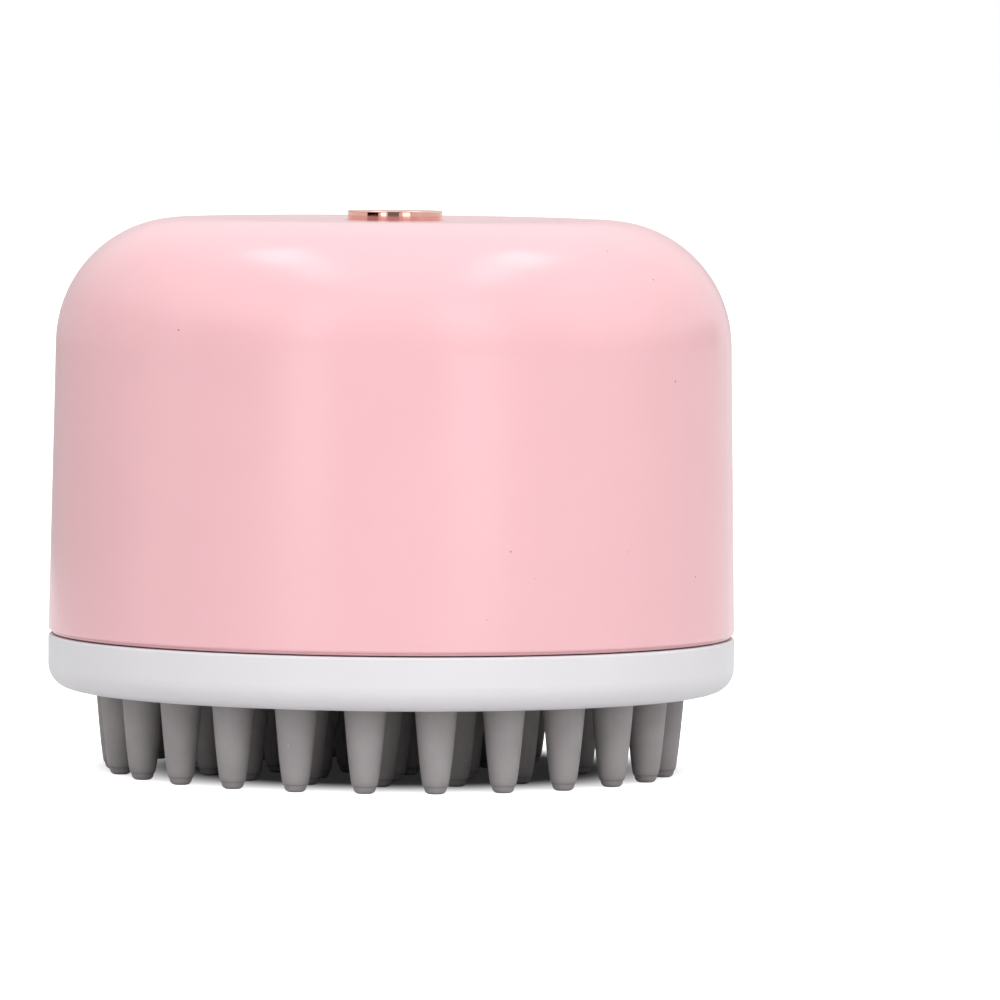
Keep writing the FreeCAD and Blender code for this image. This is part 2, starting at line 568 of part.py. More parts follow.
def chassis():
    plate = cylinder(CHASSIS_RADIUS, CHASSIS_THICKNESS, V(0, 0, CHASSIS_Z))
    depth = 2 * (BAYS_HALF_DEPTH + CHASSIS_EDGE)
    plate = plate.common(block(2 * CHASSIS_RADIUS, depth, CHASSIS_THICKNESS, 0, 0, CHASSIS_Z))
    plate = plate.multiFuse(chassis_rails())
    drill = CHASSIS_THICKNESS + 2 * OVERRUN
    for place in standoff_places(CHASSIS_Z - OVERRUN):
        plate = plate.cut(cylinder(PASS_RADIUS, drill, place))
    for y in (MOTOR_Y - STRAP_SCREW_OFFSET, MOTOR_Y + STRAP_SCREW_OFFSET):
        plate = plate.cut(cylinder(PILOT_RADIUS, drill, V(MOTOR_MIDDLE, y, CHASSIS_Z - OVERRUN)))
    return plate.removeSplitter()


def chassis_screws():
    return [screw(CHASSIS_SCREW_LENGTH, place, -Z) for place in standoff_places(CHASSIS_TOP)]


def flattened(radius, flat, x, length):
    """A bar along X with the motor's section: round, with flats above and below."""
    bar = cylinder(radius, length, V(x, MOTOR_Y, MOTOR_Z), X)
    return bar.common(block(length, 2 * radius, flat, x + length / 2, MOTOR_Y, MOTOR_Z - flat / 2))


def motor_can():
    can = flattened(MOTOR_RADIUS, MOTOR_FLAT, MOTOR_X, MOTOR_LENGTH)
    depth = MOTOR_LENGTH - MOTOR_WALL + OVERRUN
    can = can.cut(flattened(MOTOR_INSIDE, MOTOR_INSIDE_FLAT, MOTOR_X - OVERRUN, depth))
    can = can.fuse(cylinder(MOTOR_NOSE_RADIUS, MOTOR_NOSE_LENGTH, V(MOTOR_FRONT, MOTOR_Y, MOTOR_Z), X))
    return can.cut(cylinder(BUSH_RADIUS, MOTOR_LENGTH, V(MOTOR_MIDDLE, MOTOR_Y, MOTOR_Z), X))


def motor_end_cap():
    rear = MOTOR_X - END_CAP_THICKNESS
    cap = flattened(MOTOR_RADIUS, MOTOR_FLAT, rear, END_CAP_THICKNESS)
    return cap.cut(cylinder(BUSH_RADIUS, MOTOR_LENGTH, V(rear - OVERRUN, MOTOR_Y, MOTOR_Z), X))


def motor_bushes():
    bore = SHAFT_RADIUS + RUNNING_GAP
    front = V(MOTOR_FRONT - MOTOR_WALL, MOTOR_Y, MOTOR_Z)
    rear = V(MOTOR_X - END_CAP_THICKNESS, MOTOR_Y, MOTOR_Z)
    ends = ((front, MOTOR_WALL + MOTOR_NOSE_LENGTH), (rear, END_CAP_THICKNESS))
    return [tube(BUSH_RADIUS, bore, length, base, X) for base, length in ends]


def motor_terminals():
    x = MOTOR_X - END_CAP_THICKNESS - TERMINAL_LENGTH / 2
    base = MOTOR_Z - TERMINAL_THICKNESS / 2
    places = (MOTOR_Y - TERMINAL_OFFSET, MOTOR_Y + TERMINAL_OFFSET)
    return [block(TERMINAL_LENGTH, TERMINAL_WIDTH, TERMINAL_THICKNESS, x, y, base) for y in places]


def motor_magnets():
    x = MOTOR_MIDDLE - MAGNET_LENGTH / 2
    ring = tube(MOTOR_INSIDE, MAGNET_RADIUS, MAGNET_LENGTH, V(x, MOTOR_Y, MOTOR_Z), X)
    base = MOTOR_Z - MAGNET_HEIGHT / 2
    slab = block(MAGNET_LENGTH, 2 * MOTOR_INSIDE, MAGNET_HEIGHT, MOTOR_MIDDLE, MOTOR_Y, base)
    return ring.common(slab).Solids


def motor_shaft():
    rear = MOTOR_X - END_CAP_THICKNESS
    return cylinder(SHAFT_RADIUS, NOSE_END + SHAFT_REACH - rear, V(rear, MOTOR_Y, MOTOR_Z), X)


def motor_armature():
    rear = V(MOTOR_MIDDLE - ARMATURE_LENGTH / 2, MOTOR_Y, MOTOR_Z)
    core = tube(ARMATURE_RADIUS, SHAFT_RADIUS, ARMATURE_LENGTH, rear, X)
    for i in range(ARMATURE_SLOT_COUNT):
        height = ARMATURE_RADIUS - ARMATURE_HUB_RADIUS + OVERRUN
        base = MOTOR_Z + ARMATURE_HUB_RADIUS
        slot = block(ARMATURE_LENGTH, ARMATURE_SLOT_WIDTH, height, MOTOR_MIDDLE, MOTOR_Y, base)
        slot.rotate(rear, X, 360 * i / ARMATURE_SLOT_COUNT)
        core = core.cut(slot)
    return core


def eccentric_weight():
    """A half disc on a hub, hanging below the shaft."""
    base = V(NOSE_END + WEIGHT_GAP, MOTOR_Y, MOTOR_Z)
    half = cylinder(WEIGHT_RADIUS, WEIGHT_LENGTH, base, X)
    middle = base.x + WEIGHT_LENGTH / 2
    half = half.cut(block(WEIGHT_LENGTH, 2 * WEIGHT_RADIUS, WEIGHT_RADIUS, middle, MOTOR_Y, MOTOR_Z))
    weight = half.fuse(cylinder(WEIGHT_HUB_RADIUS, WEIGHT_LENGTH, base, X))
    return weight.cut(cylinder(SHAFT_RADIUS, WEIGHT_LENGTH, base, X)).removeSplitter()


def motor_strap():
    """A bent steel strap over the motor, with a screwed foot on each side."""
    inside = MOTOR_RADIUS + FIT_GAP
    outside = inside + STRAP_THICKNESS
    rise = MOTOR_FLAT + TOUCH_GAP
    strap = block(STRAP_WIDTH, 2 * outside, rise + STRAP_THICKNESS, MOTOR_MIDDLE, MOTOR_Y, CHASSIS_TOP)
    strap = strap.cut(block(STRAP_WIDTH, 2 * inside, rise, MOTOR_MIDDLE, MOTOR_Y, CHASSIS_TOP))
    for side in (-1, 1):
        y = MOTOR_Y + side * STRAP_SCREW_OFFSET
        strap = strap.fuse(block(STRAP_WIDTH, STRAP_FOOT, STRAP_THICKNESS, MOTOR_MIDDLE, y, CHASSIS_TOP))
        strap = strap.cut(cylinder(PASS_RADIUS, CHASSIS_TOP, V(MOTOR_MIDDLE, y, CHASSIS_TOP - OVERRUN)))
    return strap.removeSplitter()


def strap_screws():
    seat_z = CHASSIS_TOP + STRAP_THICKNESS
    places = (MOTOR_Y - STRAP_SCREW_OFFSET, MOTOR_Y + STRAP_SCREW_OFFSET)
    return [screw(STRAP_SCREW_LENGTH, V(MOTOR_MIDDLE, y, seat_z), -Z) for y in places]


def battery_body(radius):
    return cylinder(radius, BATTERY_LENGTH, V(-BATTERY_LENGTH / 2, BATTERY_Y, BATTERY_Z), X)


def battery_cell():
    cell = battery_body(BATTERY_RADIUS)
    rims = [e for e in cell.Edges if e.BoundBox.XLength < TOUCH_GAP]
    return cell.makeFillet(BATTERY_EDGE_ROUND, rims)


def battery_foam():
    foam = block(BATTERY_LENGTH, FOAM_WIDTH, FOAM_THICKNESS, 0, BATTERY_Y, CHASSIS_TOP)
    return foam.cut(battery_body(BATTERY_RADIUS + TOUCH_GAP))


def battery_tabs():
    x = (BATTERY_LENGTH + TAB_THICKNESS) / 2
    base = BATTERY_Z - TAB_HEIGHT / 2
    return [block(TAB_THICKNESS, TAB_WIDTH, TAB_HEIGHT, side * x, BATTERY_Y, base) for side in (-1, 1)]


def motor_lead(side):
    tip = V(MOTOR_X - END_CAP_THICKNESS - TERMINAL_LENGTH, MOTOR_Y + side * TERMINAL_OFFSET, MOTOR_Z)
    return lead(tip, -X, BOARD_Z)


def battery_lead(side):
    face = V(side * (BATTERY_LENGTH / 2 + TAB_THICKNESS), BATTERY_Y, BATTERY_Z + LEAD_RISE)
    return lead(face, X * side, BOARD_Z)


def main_board():
    board = cylinder(BOARD_RADIUS, BOARD_THICKNESS, V(0, 0, BOARD_Z))
    board = board.fuse(block(TONGUE_WIDTH, TONGUE_Y, BOARD_THICKNESS, 0, TONGUE_Y / 2, BOARD_Z))
    for angle in POST_ANGLES:
        place = polar(POST_RING_RADIUS, angle, BOARD_Z - OVERRUN)
        board = board.cut(cylinder(PASS_RADIUS, BOARD_THICKNESS + 2 * OVERRUN, place))
    return board.removeSplitter()


def board_screws():
    return [screw(BOARD_SCREW_LENGTH, polar(POST_RING_RADIUS, a, BOARD_Z), Z) for a in POST_ANGLES]


def board_chips():
    places = [(BOARD_RADIUS * x, BOARD_RADIUS * y) for x, y in CHIP_PLACE_SHARES]
    chips = [block(CHIP_LENGTH, CHIP_WIDTH, CHIP_HEIGHT, x, y, BOARD_TOP) for x, y in places]
    x, y = (BOARD_RADIUS * share for share in COIL_PLACE_SHARES)
    return chips + [cylinder(COIL_RADIUS, COIL_HEIGHT, V(x, y, BOARD_TOP))]


def usb_shell():
    outside = stadium(USB_WIDTH, USB_HEIGHT, V(0, USB_REAR_Y, USB_Z), USB_LENGTH)
    start = V(0, USB_REAR_Y - OVERRUN, USB_Z)
    through = USB_LENGTH + 2 * OVERRUN
    return outside.cut(stadium(USB_WIDTH - 2 * USB_WALL, USB_HEIGHT - 2 * USB_WALL, start, through))


def usb_tongue():
    """The socket's plastic base and the blade that stands in its mouth."""
    gap = USB_WALL + TOUCH_GAP
    base = stadium(USB_WIDTH - 2 * gap, USB_HEIGHT - 2 * gap, V(0, USB_REAR_Y, USB_Z), USB_BASE)
    blade_z = USB_Z - USB_BLADE_THICKNESS / 2
    blade_y = USB_REAR_Y + USB_BASE + USB_BLADE_LENGTH / 2
    return base.fuse(block(USB_BLADE_WIDTH, USB_BLADE_LENGTH, USB_BLADE_THICKNESS, 0, blade_y, blade_z))


def charge_light_pipe():
    pipe = cylinder(PIPE_RADIUS, SHELL_WALL + USB_LENGTH, V(PIPE_X, PIPE_Y, USB_Z), Y)
    return pipe.common(shell_outside())


def charge_lamp():
    y = min(PIPE_Y - PIPE_GAP, TONGUE_Y) - LAMP_WIDTH / 2
    return block(LAMP_LENGTH, LAMP_WIDTH, LAMP_HEIGHT, PIPE_X, y, BOARD_Z - LAMP_HEIGHT)


def clip_z():
    return ROOF_Z - GUIDE_LENGTH - TOUCH_GAP - CLIP_THICKNESS


def seal_centre():
    """The radius of the stem seal's centreline, which fills the stem's groove up to the guide."""
    return STEM_BORE - TOUCH_GAP - STEM_SEAL_SECTION


def button_cap():
    """The dished cap and its stem, grooved for the seal and the clip."""
    cap_z, cap_top = SHELL_TOP - BUTTON_SKIRT, SHELL_TOP + BUTTON_PROUD
    cap = cylinder(BUTTON_RADIUS, cap_top - cap_z, V(0, 0, cap_z))
    cap = round_rims(cap, BUTTON_EDGE_ROUND, cap_top)
    cap = cap.cut(dish(BUTTON_RADIUS - BUTTON_DISH_MARGIN, BUTTON_DISH_DEPTH, cap_top))
    stem_z = BOARD_TOP + SWITCH_HEIGHT + PLUNGER_PROUD + TOUCH_GAP
    cap = cap.fuse(cylinder(STEM_RADIUS, cap_z - stem_z, V(0, 0, stem_z)))
    outside = STEM_RADIUS + OVERRUN
    half = STEM_SEAL_SECTION + TOUCH_GAP
    seal_base = V(0, 0, ROOF_Z - STEM_SEAL_DROP - half)
    cap = cap.cut(tube(outside, seal_centre() - half, 2 * half, seal_base))
    slot_height = CLIP_THICKNESS + 2 * TOUCH_GAP
    slot_base = V(0, 0, clip_z() - TOUCH_GAP)
    return cap.cut(tube(outside, STEM_RADIUS - CLIP_BITE, slot_height, slot_base)).removeSplitter()


def button_seal_ring():
    return Part.makeTorus(seal_centre(), STEM_SEAL_SECTION, V(0, 0, ROOF_Z - STEM_SEAL_DROP))


def button_clip():
    """A C-shaped clip in the stem's lower groove, which keeps the button in its guide."""
    groove = STEM_RADIUS - CLIP_BITE
    clip = tube(STEM_RADIUS + CLIP_WIDTH, groove + TOUCH_GAP, CLIP_THICKNESS, V(0, 0, clip_z()))
    mouth = 2 * groove * CLIP_MOUTH_SHARE
    reach = STEM_RADIUS + CLIP_WIDTH + OVERRUN
    return clip.cut(block(mouth, reach, CLIP_THICKNESS, 0, -reach / 2, clip_z()))


def tact_switch():
    body = block(SWITCH_SIDE, SWITCH_SIDE, SWITCH_HEIGHT, 0, 0, BOARD_TOP)
    depth = PLUNGER_DEPTH + BUTTON_TRAVEL + FIT_GAP
    well_z = BOARD_TOP + SWITCH_HEIGHT - depth
    return body.cut(cylinder(PLUNGER_RADIUS + RUNNING_GAP, depth + OVERRUN, V(0, 0, well_z)))


def switch_plunger():
    base = V(0, 0, BOARD_TOP + SWITCH_HEIGHT - PLUNGER_DEPTH)
    return cylinder(PLUNGER_RADIUS, PLUNGER_DEPTH + PLUNGER_PROUD, base)


def brush_pieces():
    """Every node of the brush, by name. A node with several like pieces is a list of solids."""
    return {
        "top_shell": top_shell(),
        "bottom_cover": bottom_cover(),
        "cover_seal": cover_seal(),
        "cover_screws": cover_screws(),
        "chassis": chassis(),
        "chassis_screws": chassis_screws(),
        "motor_can": motor_can(),
        "motor_end_cap": motor_end_cap(),
        "motor_bushes": motor_bushes(),
        "motor_terminals": motor_terminals(),
        "motor_magnets": motor_magnets(),
        "motor_strap": motor_strap(),
        "strap_screws": strap_screws(),
        "motor_lead_red": motor_lead(1),
        "motor_lead_black": motor_lead(-1),
        "battery_cell": battery_cell(),
        "battery_foam": battery_foam(),
        "battery_tabs": battery_tabs(),
        "battery_lead_red": battery_lead(1),
        "battery_lead_black": battery_lead(-1),
        "main_board": main_board(),
        "board_screws": board_screws(),
        "board_chips": board_chips(),
        "tact_switch": tact_switch(),
        "usb_shell": usb_shell(),
        "usb_tongue": usb_tongue(),
        "charge_lamp": charge_lamp(),
        "charge_light_pipe": charge_light_pipe(),
        "button_cap": button_cap(),
        "button_seal_ring": button_seal_ring(),
        "button_clip": button_clip(),
        "switch_plunger": switch_plunger(),
        "motor_shaft": motor_shaft(),
        "motor_armature": motor_armature(),
        "eccentric_weight": eccentric_weight(),
        "head_ring": head_ring(),
        "silicone_pad": silicone_pad(),
        "pad_plate": pad_plate(),
        "head_grip_ring": head_grip_ring(),
    }


os.makedirs("parts", exist_ok=True)
for node, piece in brush_pieces().items():
    shape = Part.makeCompound(piece) if isinstance(piece, list) else piece
    shape.exportStep(os.path.join("parts", node + ".step"))
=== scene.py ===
"""Pet massage brush: finishes for every piece, the silicone finger pad, studio and camera."""

import math

import bmesh
import bpy
from mathutils import Matrix, Quaternion, Vector
from mathutils.geometry import delaunay_2d_cdt


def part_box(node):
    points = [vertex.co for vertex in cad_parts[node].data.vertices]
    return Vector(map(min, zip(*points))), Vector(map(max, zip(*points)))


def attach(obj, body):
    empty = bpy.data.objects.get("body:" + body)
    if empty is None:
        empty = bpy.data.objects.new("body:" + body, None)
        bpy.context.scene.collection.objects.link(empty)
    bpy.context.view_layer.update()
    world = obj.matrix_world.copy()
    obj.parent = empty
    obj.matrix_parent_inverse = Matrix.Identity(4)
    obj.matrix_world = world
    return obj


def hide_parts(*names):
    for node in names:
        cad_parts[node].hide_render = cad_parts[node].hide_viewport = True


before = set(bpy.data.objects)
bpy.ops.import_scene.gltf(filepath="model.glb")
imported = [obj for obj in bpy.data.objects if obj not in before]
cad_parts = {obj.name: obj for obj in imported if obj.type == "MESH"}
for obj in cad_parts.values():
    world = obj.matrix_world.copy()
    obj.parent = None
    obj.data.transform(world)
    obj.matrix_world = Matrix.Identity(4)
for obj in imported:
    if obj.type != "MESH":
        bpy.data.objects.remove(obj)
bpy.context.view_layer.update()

bl_info = {
    "name": "Pet massage brush",
    "version": (1, 0, 0),
    "blender": (4, 5, 0),
    "location": "3D View > Sidebar > Brush",
    "description": "Finishes, finger pad, studio and camera for a pet massage brush",
    "category": "Object",
}

MM = 0.001
FULL_TURN = 2 * math.pi
WHITE = (1.0, 1.0, 1.0, 1.0)
DOWN = Vector((0.0, 0.0, -1.0))

# Places on the frame's own pieces
RING_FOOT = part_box("head_ring")[0].z
PAD_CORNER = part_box("silicone_pad")[1]
SHELL_LOW, SHELL_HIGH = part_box("top_shell")
SHELL_MIDDLE = (SHELL_LOW + SHELL_HIGH) / 2

# Finger pad: sides and steps of its curves, then their shape
FINGER_SIDES = 40
RIM_SIDES = 192
TIP_STEPS = 6
BODY_STEPS = 16
FLARE_STEPS = 6
TIP_ARC = (-90, -20)
BULGE_POWER = 0.75
LAND_EDGE = 0.2 * MM
SHARP_EDGE = math.radians(50)

# Fill of the pad's flat face: inside its outlines, with points this close taken as one
FILL_INSIDE = 1
FILL_CLOSENESS = 1e-8

# Sockets of a colour mix
FIRST_COLOUR, SECOND_COLOUR, MIXED_COLOUR = 6, 7, 2

# Waves: length of one wave at a scale of 1, and how much it wavers
WAVE_PERIOD = math.pi / 10
WAVE_DISTORTION = 0.4

# Board: its tracks, and how its fields are told apart
TRACK_PITCH = 1.3 * MM
TRACK_EDGE = (0.62, 0.7)
EVEN_LOTS = (0.499, 0.501)

# Sky: its directions, and the spans over which its light changes along them
SKY_FRONT = (0.42, -0.62, 0.66)
SKY_UP = (0.0, 0.0, 1.0)
SKY_ROOF = (0.0, 0.45, 0.89)
LIGHT_SPAN = (-0.7, 0.8)
GLOSS_SPAN = (-0.6, 0.9)
ROOF_SPAN = (0.52, 0.95)

# Floor: the shadow's middle lies a little behind the brush's axis
FLOOR_SIZE = 12.0
SHADOW_MIDDLE = (0.0, 7 * MM, 0.0)
SHADOW_WHITE = 0.018

# Front lights (name, turn in degrees, width), each a soft box and two cards (name, rise, height)
FRONT_LIGHTS = (("left", -28.0, 0.2), ("right", 27.5, 0.28))
FRONT_DISTANCE = 0.9
FRONT_BOX_RISE, FRONT_BOX_HEIGHT = 24.0, 0.6
FRONT_CARDS = (("card", 27.0, 0.5), ("strip", 0.8, 0.06))

# Top lights, each a soft box and a card: name and their places from the shell's middle
TOP_LIGHTS = (
    ("left", (-0.28, 0.13, 0.75), (-0.24, -0.14, 0.75)),
    ("right", (0.318, 0.15, 0.75), (0.3, -0.14, 0.75)),
)
TOP_BOX_SIZE = (0.16, 0.26)
TOP_CARD_SIZE = (0.15, 0.3)
BIG_BOX_TURN, BIG_BOX_RISE, BIG_BOX_DISTANCE = 10.0, 46.0, 1.2
BIG_BOX_SIZE = (1.2, 0.9)

# Cards that only gloss shows: name, turn and rise in degrees, distance, size, white
CARDS = (
    ("left", -56.0, 7.5, 0.85, (0.46, 0.46), 0.0),
    ("high_left", -90.0, 38.0, 0.9, (1.3, 0.45), 1.0),
    ("camera", -4.0, 25.0, 1.1, (0.58, 1.1), 0.2),
    ("right", 104.0, 31.0, 0.9, (1.8, 0.72), 1.05),
    ("back_right", 152.0, 9.0, 0.9, (0.3, 0.34), 0.95),
    ("low_left", -128.0, -2.2, 0.4, (0.62, 0.056), 0.52),
)


def colour_property(name, description, default):
    return bpy.props.FloatVectorProperty(
        name=name,
        description=description,
        default=default,
        subtype="COLOR",
        size=3,
        min=0.0,
        max=1.0,
    )


def length_property(name, description, default):
    return bpy.props.FloatProperty(
        name=name,
        description=description,
        default=default,
        subtype="DISTANCE",
        unit="LENGTH",
        precision=5,
    )


def number_property(name, description, default):
    return bpy.props.FloatProperty(name=name, description=description, default=default)


def pair_property(name, description, default):
    return bpy.props.FloatVectorProperty(
        name=name, description=description, default=default, size=2
    )


class BrushColours(bpy.types.PropertyGroup):
    """Colours of the brush's own materials."""

    shell: colour_property("Shell", "Pink of the domed shell", (0.86, 0.50, 0.535))
    ring: colour_property("Ring", "White of the ring, plate and cover", (0.745, 0.737, 0.762))
    silicone: colour_property("Silicone", "Grey of the silicone fingers", (0.366, 0.343, 0.345))
    button: colour_property("Button", "Rose gold of the push button", (0.83, 0.47, 0.39))
    rubber: colour_property("Rubber", "Black of the seals", (0.03, 0.03, 0.032))
    steel: colour_property("Steel", "Screws, clip, motor and socket", (0.62, 0.62, 0.63))
    bronze: colour_property("Bronze", "Motor bushes", (0.55, 0.36, 0.17))
    brass: colour_property("Brass", "Terminals and tabs", (0.78, 0.60, 0.30))
    gold: colour_property("Gold", "Contacts and solder pads", (0.86, 0.66, 0.30))
    magnet: colour_property("Magnets", "Dark grey of the magnets", (0.06, 0.06, 0.065))
    chassis: colour_property("Chassis", "Pale grey of the chassis", (0.60, 0.60, 0.61))
    black: colour_property("Black plastic", "Switch, chips and end cap", (0.022, 0.022, 0.024))
    board: colour_property("Board", "Green of the board's lacquer", (0.015, 0.13, 0.05))
    wrap: colour_property("Cell wrap", "Blue of the cell's shrunk sleeve", (0.05, 0.16, 0.45))
    foam: colour_property("Foam", "Black of the foam under the cell", (0.028, 0.028, 0.028))
    red: colour_property("Red lead", "Red of the leads", (0.55, 0.02, 0.02))
    dark: colour_property("Black lead", "Black of the leads", (0.018, 0.018, 0.02))
    lamp: colour_property("Lamp", "Clear plastic of the charge light", (0.90, 0.93, 0.95))
    dust: colour_property("Dust", "Pale dust on the fingers", (0.62, 0.60, 0.58))
    grit: colour_property("Grit", "Dark specks on the shell", (0.30, 0.17, 0.17))


class BrushFingerSizes(bpy.types.PropertyGroup):
    """Sizes of the silicone fingers and of the flat that carries them."""

    counts: bpy.props.IntVectorProperty(
        name="Fingers",
        description="Fingers in each ring, the outer ring first",
        size=4,
        default=(25, 16, 9, 4),
    )
    ring_shares: bpy.props.FloatVectorProperty(
        name="Ring shares",
        description="Radius of each ring, as a share of the outer ring's",
        size=4,
        default=(1.0, 0.69, 0.413, 0.16),
    )
    first_turns: bpy.props.FloatVectorProperty(
        name="First finger",
        description="Turn from the front to each ring's first finger",
        size=4,
        unit="ROTATION",
        default=tuple(math.radians(turn) for turn in (-5.2, -2.8, 1.0, 24.0)),
    )
    outer_ring: length_property("Outer ring", "Radius of the outer ring of fingers", 36.85 * MM)
    land_height: length_property("Land", "Height of the flat face", RING_FOOT + 0.4 * MM)
    land_radius: length_property("Land radius", "Radius of the flat face", 40.25 * MM)
    flange_height: length_property("Flange", "Height where the flange starts", 13.4 * MM)
    root_radius: length_property("Root", "Radius of a finger at its root", 2.8 * MM)
    root_flare: length_property("Flare", "Fillet between a finger and the flat face", 0.3 * MM)
    shoulder_radius: length_property("Shoulder", "Radius of a finger above its tip", 1.67 * MM)
    shoulder_height: length_property("Shoulder height", "Height of the tip's line", 0.95 * MM)
    shoulder_step: length_property("Step", "Depth of the tip's line", 0.17 * MM)
    tip_radius: length_property("Tip", "Radius of the tip above its rounded edge", 1.47 * MM)
    tip_round: length_property("Tip round", "Rounding at the tip's edge", 0.75 * MM)


class BrushSocketSizes(bpy.types.PropertyGroup):
    """Sizes of the contacts in the charging socket."""

    contacts: bpy.props.IntProperty(name="Contacts", description="Contacts in each row", default=12)
    contact_pitch: length_property("Pitch", "From one contact to the next", 0.5 * MM)
    contact_width: length_property("Width", "Width of a contact", 0.27 * MM)
    contact_length: length_property("Length", "Length of a contact along the blade", 3.6 * MM)
    contact_thickness: length_property("Thickness", "How far a contact stands off", 0.025 * MM)
    contact_inset: length_property("Inset", "From the blade's end to the contacts", 0.35 * MM)
    blade_thickness: length_property("Blade", "Thickness of the blade", 0.7 * MM)


class BrushStudio(bpy.types.PropertyGroup):
    """Camera, lamps and floor."""

    lens: number_property("Lens", "Focal length in millimetres", 324.0)
    camera_distance: length_property("Camera distance", "From the brush's axis", 1.205)
    camera_height: length_property("Camera height", "Camera above the floor", 0.0967)
    aim_right: length_property("Aim right", "Aimed point, right of the brush's axis", 0.01439)
    aim_height: length_property("Aim height", "Aimed point, above the floor", 0.0366)
    roll: bpy.props.FloatProperty(
        name="Roll",
        description="Camera's turn about its own axis",
        default=math.radians(0.52),
        unit="ROTATION",
    )
    sky: pair_property("Sky", "Light from behind and from the front", (0.62, 0.75))
    sky_rise: pair_property("Sky's rise", "Its share at the horizon and overhead", (0.3, 1.52))
    mirrored_sky: pair_property("Mirrored sky", "White in gloss, behind and in front", (0.62, 0.52))
    mirrored_roof: number_property("Mirrored roof", "White that gloss adds overhead", 0.7)
    front_boxes: pair_property("Front boxes", "Brightness of the left and right one", (2.2, 2.04))
    front_cards: pair_property("Front cards", "White in gloss of cards and strips", (1.65, 2.6))
    top_boxes: pair_property("Top boxes", "Brightness of the left and right one", (3.0, 3.1))
    top_cards: number_property("Top cards", "White in gloss in front of the top boxes", 2.9)
    big_box: number_property("Big box", "Brightness of the big soft box", 1.5)
    # Floor colour: a painted shadow under the brush, and white beside it
    floor_shadow_and_white: pair_property("Floor", "White under the brush and beside it", (0.09, 0.72))
    floor_gloss: number_property("Floor in gloss", "White in gloss below", 0.3)
    floor_glow: bpy.props.FloatVectorProperty(
        name="Floor glow",
        description="Distances from the shadow's middle between which the floor turns white",
        size=2,
        unit="LENGTH",
        default=(0.027, 0.046),
    )


def new_finish(name, colour, **sockets):
    """A material with its shader, whose even values are set on the shader's own sockets."""
    finish = bpy.data.materials.new(name)
    finish.use_nodes = True
    shader = finish.node_tree.nodes["Principled BSDF"]
    shader.inputs["Base Color"].default_value = (*colour, 1.0)
    for socket, value in sockets.items():
        shader.inputs[socket.replace("_", " ").title().replace("Ior", "IOR")].default_value = value
    return finish, finish.node_tree, shader


def place_socket(tree):
    """Places on the brush, in metres."""
    for node in tree.nodes:
        if node.type == "TEX_COORD":
            return node.outputs["Object"]
    return tree.nodes.new("ShaderNodeTexCoord").outputs["Object"]


def noise(tree, size, detail=2.0, stretch=(1.0, 1.0, 1.0)):
    """Soft cloudy noise whose clouds are about size across."""
    mapping = tree.nodes.new("ShaderNodeMapping")
    mapping.inputs["Scale"].default_value = [1.0 / (size * s) for s in stretch]
    tree.links.new(place_socket(tree), mapping.inputs["Vector"])
    texture = tree.nodes.new("ShaderNodeTexNoise")
    texture.inputs["Scale"].default_value = 1.0
    texture.inputs["Detail"].default_value = detail
    tree.links.new(mapping.outputs["Vector"], texture.inputs["Vector"])
    return texture.outputs["Fac"]


def spread(tree, source, low, high, start=0.3, end=0.7):
    """Maps values from start to end, by default those of a noise, onto low to high."""
    node = tree.nodes.new("ShaderNodeMapRange")
    node.inputs["From Min"].default_value = start
    node.inputs["From Max"].default_value = end
    node.inputs["To Min"].default_value = low
    node.inputs["To Max"].default_value = high
    tree.links.new(source, node.inputs["Value"])
    return node.outputs["Result"]


def combine(tree, operation, first, second):
    """Two sockets joined by one step of arithmetic."""
    node = tree.nodes.new("ShaderNodeMath")
    node.operation = operation
    tree.links.new(first, node.inputs[0])
    tree.links.new(second, node.inputs[1])
    return node.outputs["Value"]


def tint(colour, factor):
    """A lighter or darker shade of a colour."""
    return (*(min(1.0, c * factor) for c in colour), 1.0)


def mix_colours(tree, factor, first, second):
    """A mix of two colours, each a colour or a socket."""
    node = tree.nodes.new("ShaderNodeMix")
    node.data_type = "RGBA"
    tree.links.new(factor, node.inputs["Factor"])
    for index, value in ((FIRST_COLOUR, first), (SECOND_COLOUR, second)):
        if isinstance(value, bpy.types.NodeSocket):
            tree.links.new(value, node.inputs[index])
        else:
            node.inputs[index].default_value = value
    return node.outputs[MIXED_COLOUR]


def mottle(tree, shader, colour, amount, size):
    """Slight cloudiness of the colour, as in any moulded or rolled piece."""
    clouds = spread(tree, noise(tree, size, detail=4.0), 0.0, 1.0)
    mixed = mix_colours(tree, clouds, tint(colour, 1.0 - amount), tint(colour, 1.0 + amount))
    tree.links.new(mixed, shader.inputs["Base Color"])


def vary_roughness(tree, shader, low, high, size):
    """Gloss that varies in clouds, as on any handled surface."""
    clouds = noise(tree, size, detail=3.0)
    tree.links.new(spread(tree, clouds, low, high), shader.inputs["Roughness"])


def emboss(tree, shader, height, depth):
    """Raises the surface by up to depth where the height socket is bright."""
    bump = tree.nodes.new("ShaderNodeBump")
    bump.inputs["Distance"].default_value = depth
    tree.links.new(height, bump.inputs["Height"])
    before = shader.inputs["Normal"].links
    if before:
        tree.links.new(before[0].from_socket, bump.inputs["Normal"])
    tree.links.new(bump.outputs["Normal"], shader.inputs["Normal"])


def cells(tree, size):
    """A loose lattice of cells about size across."""
    lattice = tree.nodes.new("ShaderNodeTexVoronoi")
    lattice.inputs["Scale"].default_value = 1.0 / size
    tree.links.new(place_socket(tree), lattice.inputs["Vector"])
    return lattice


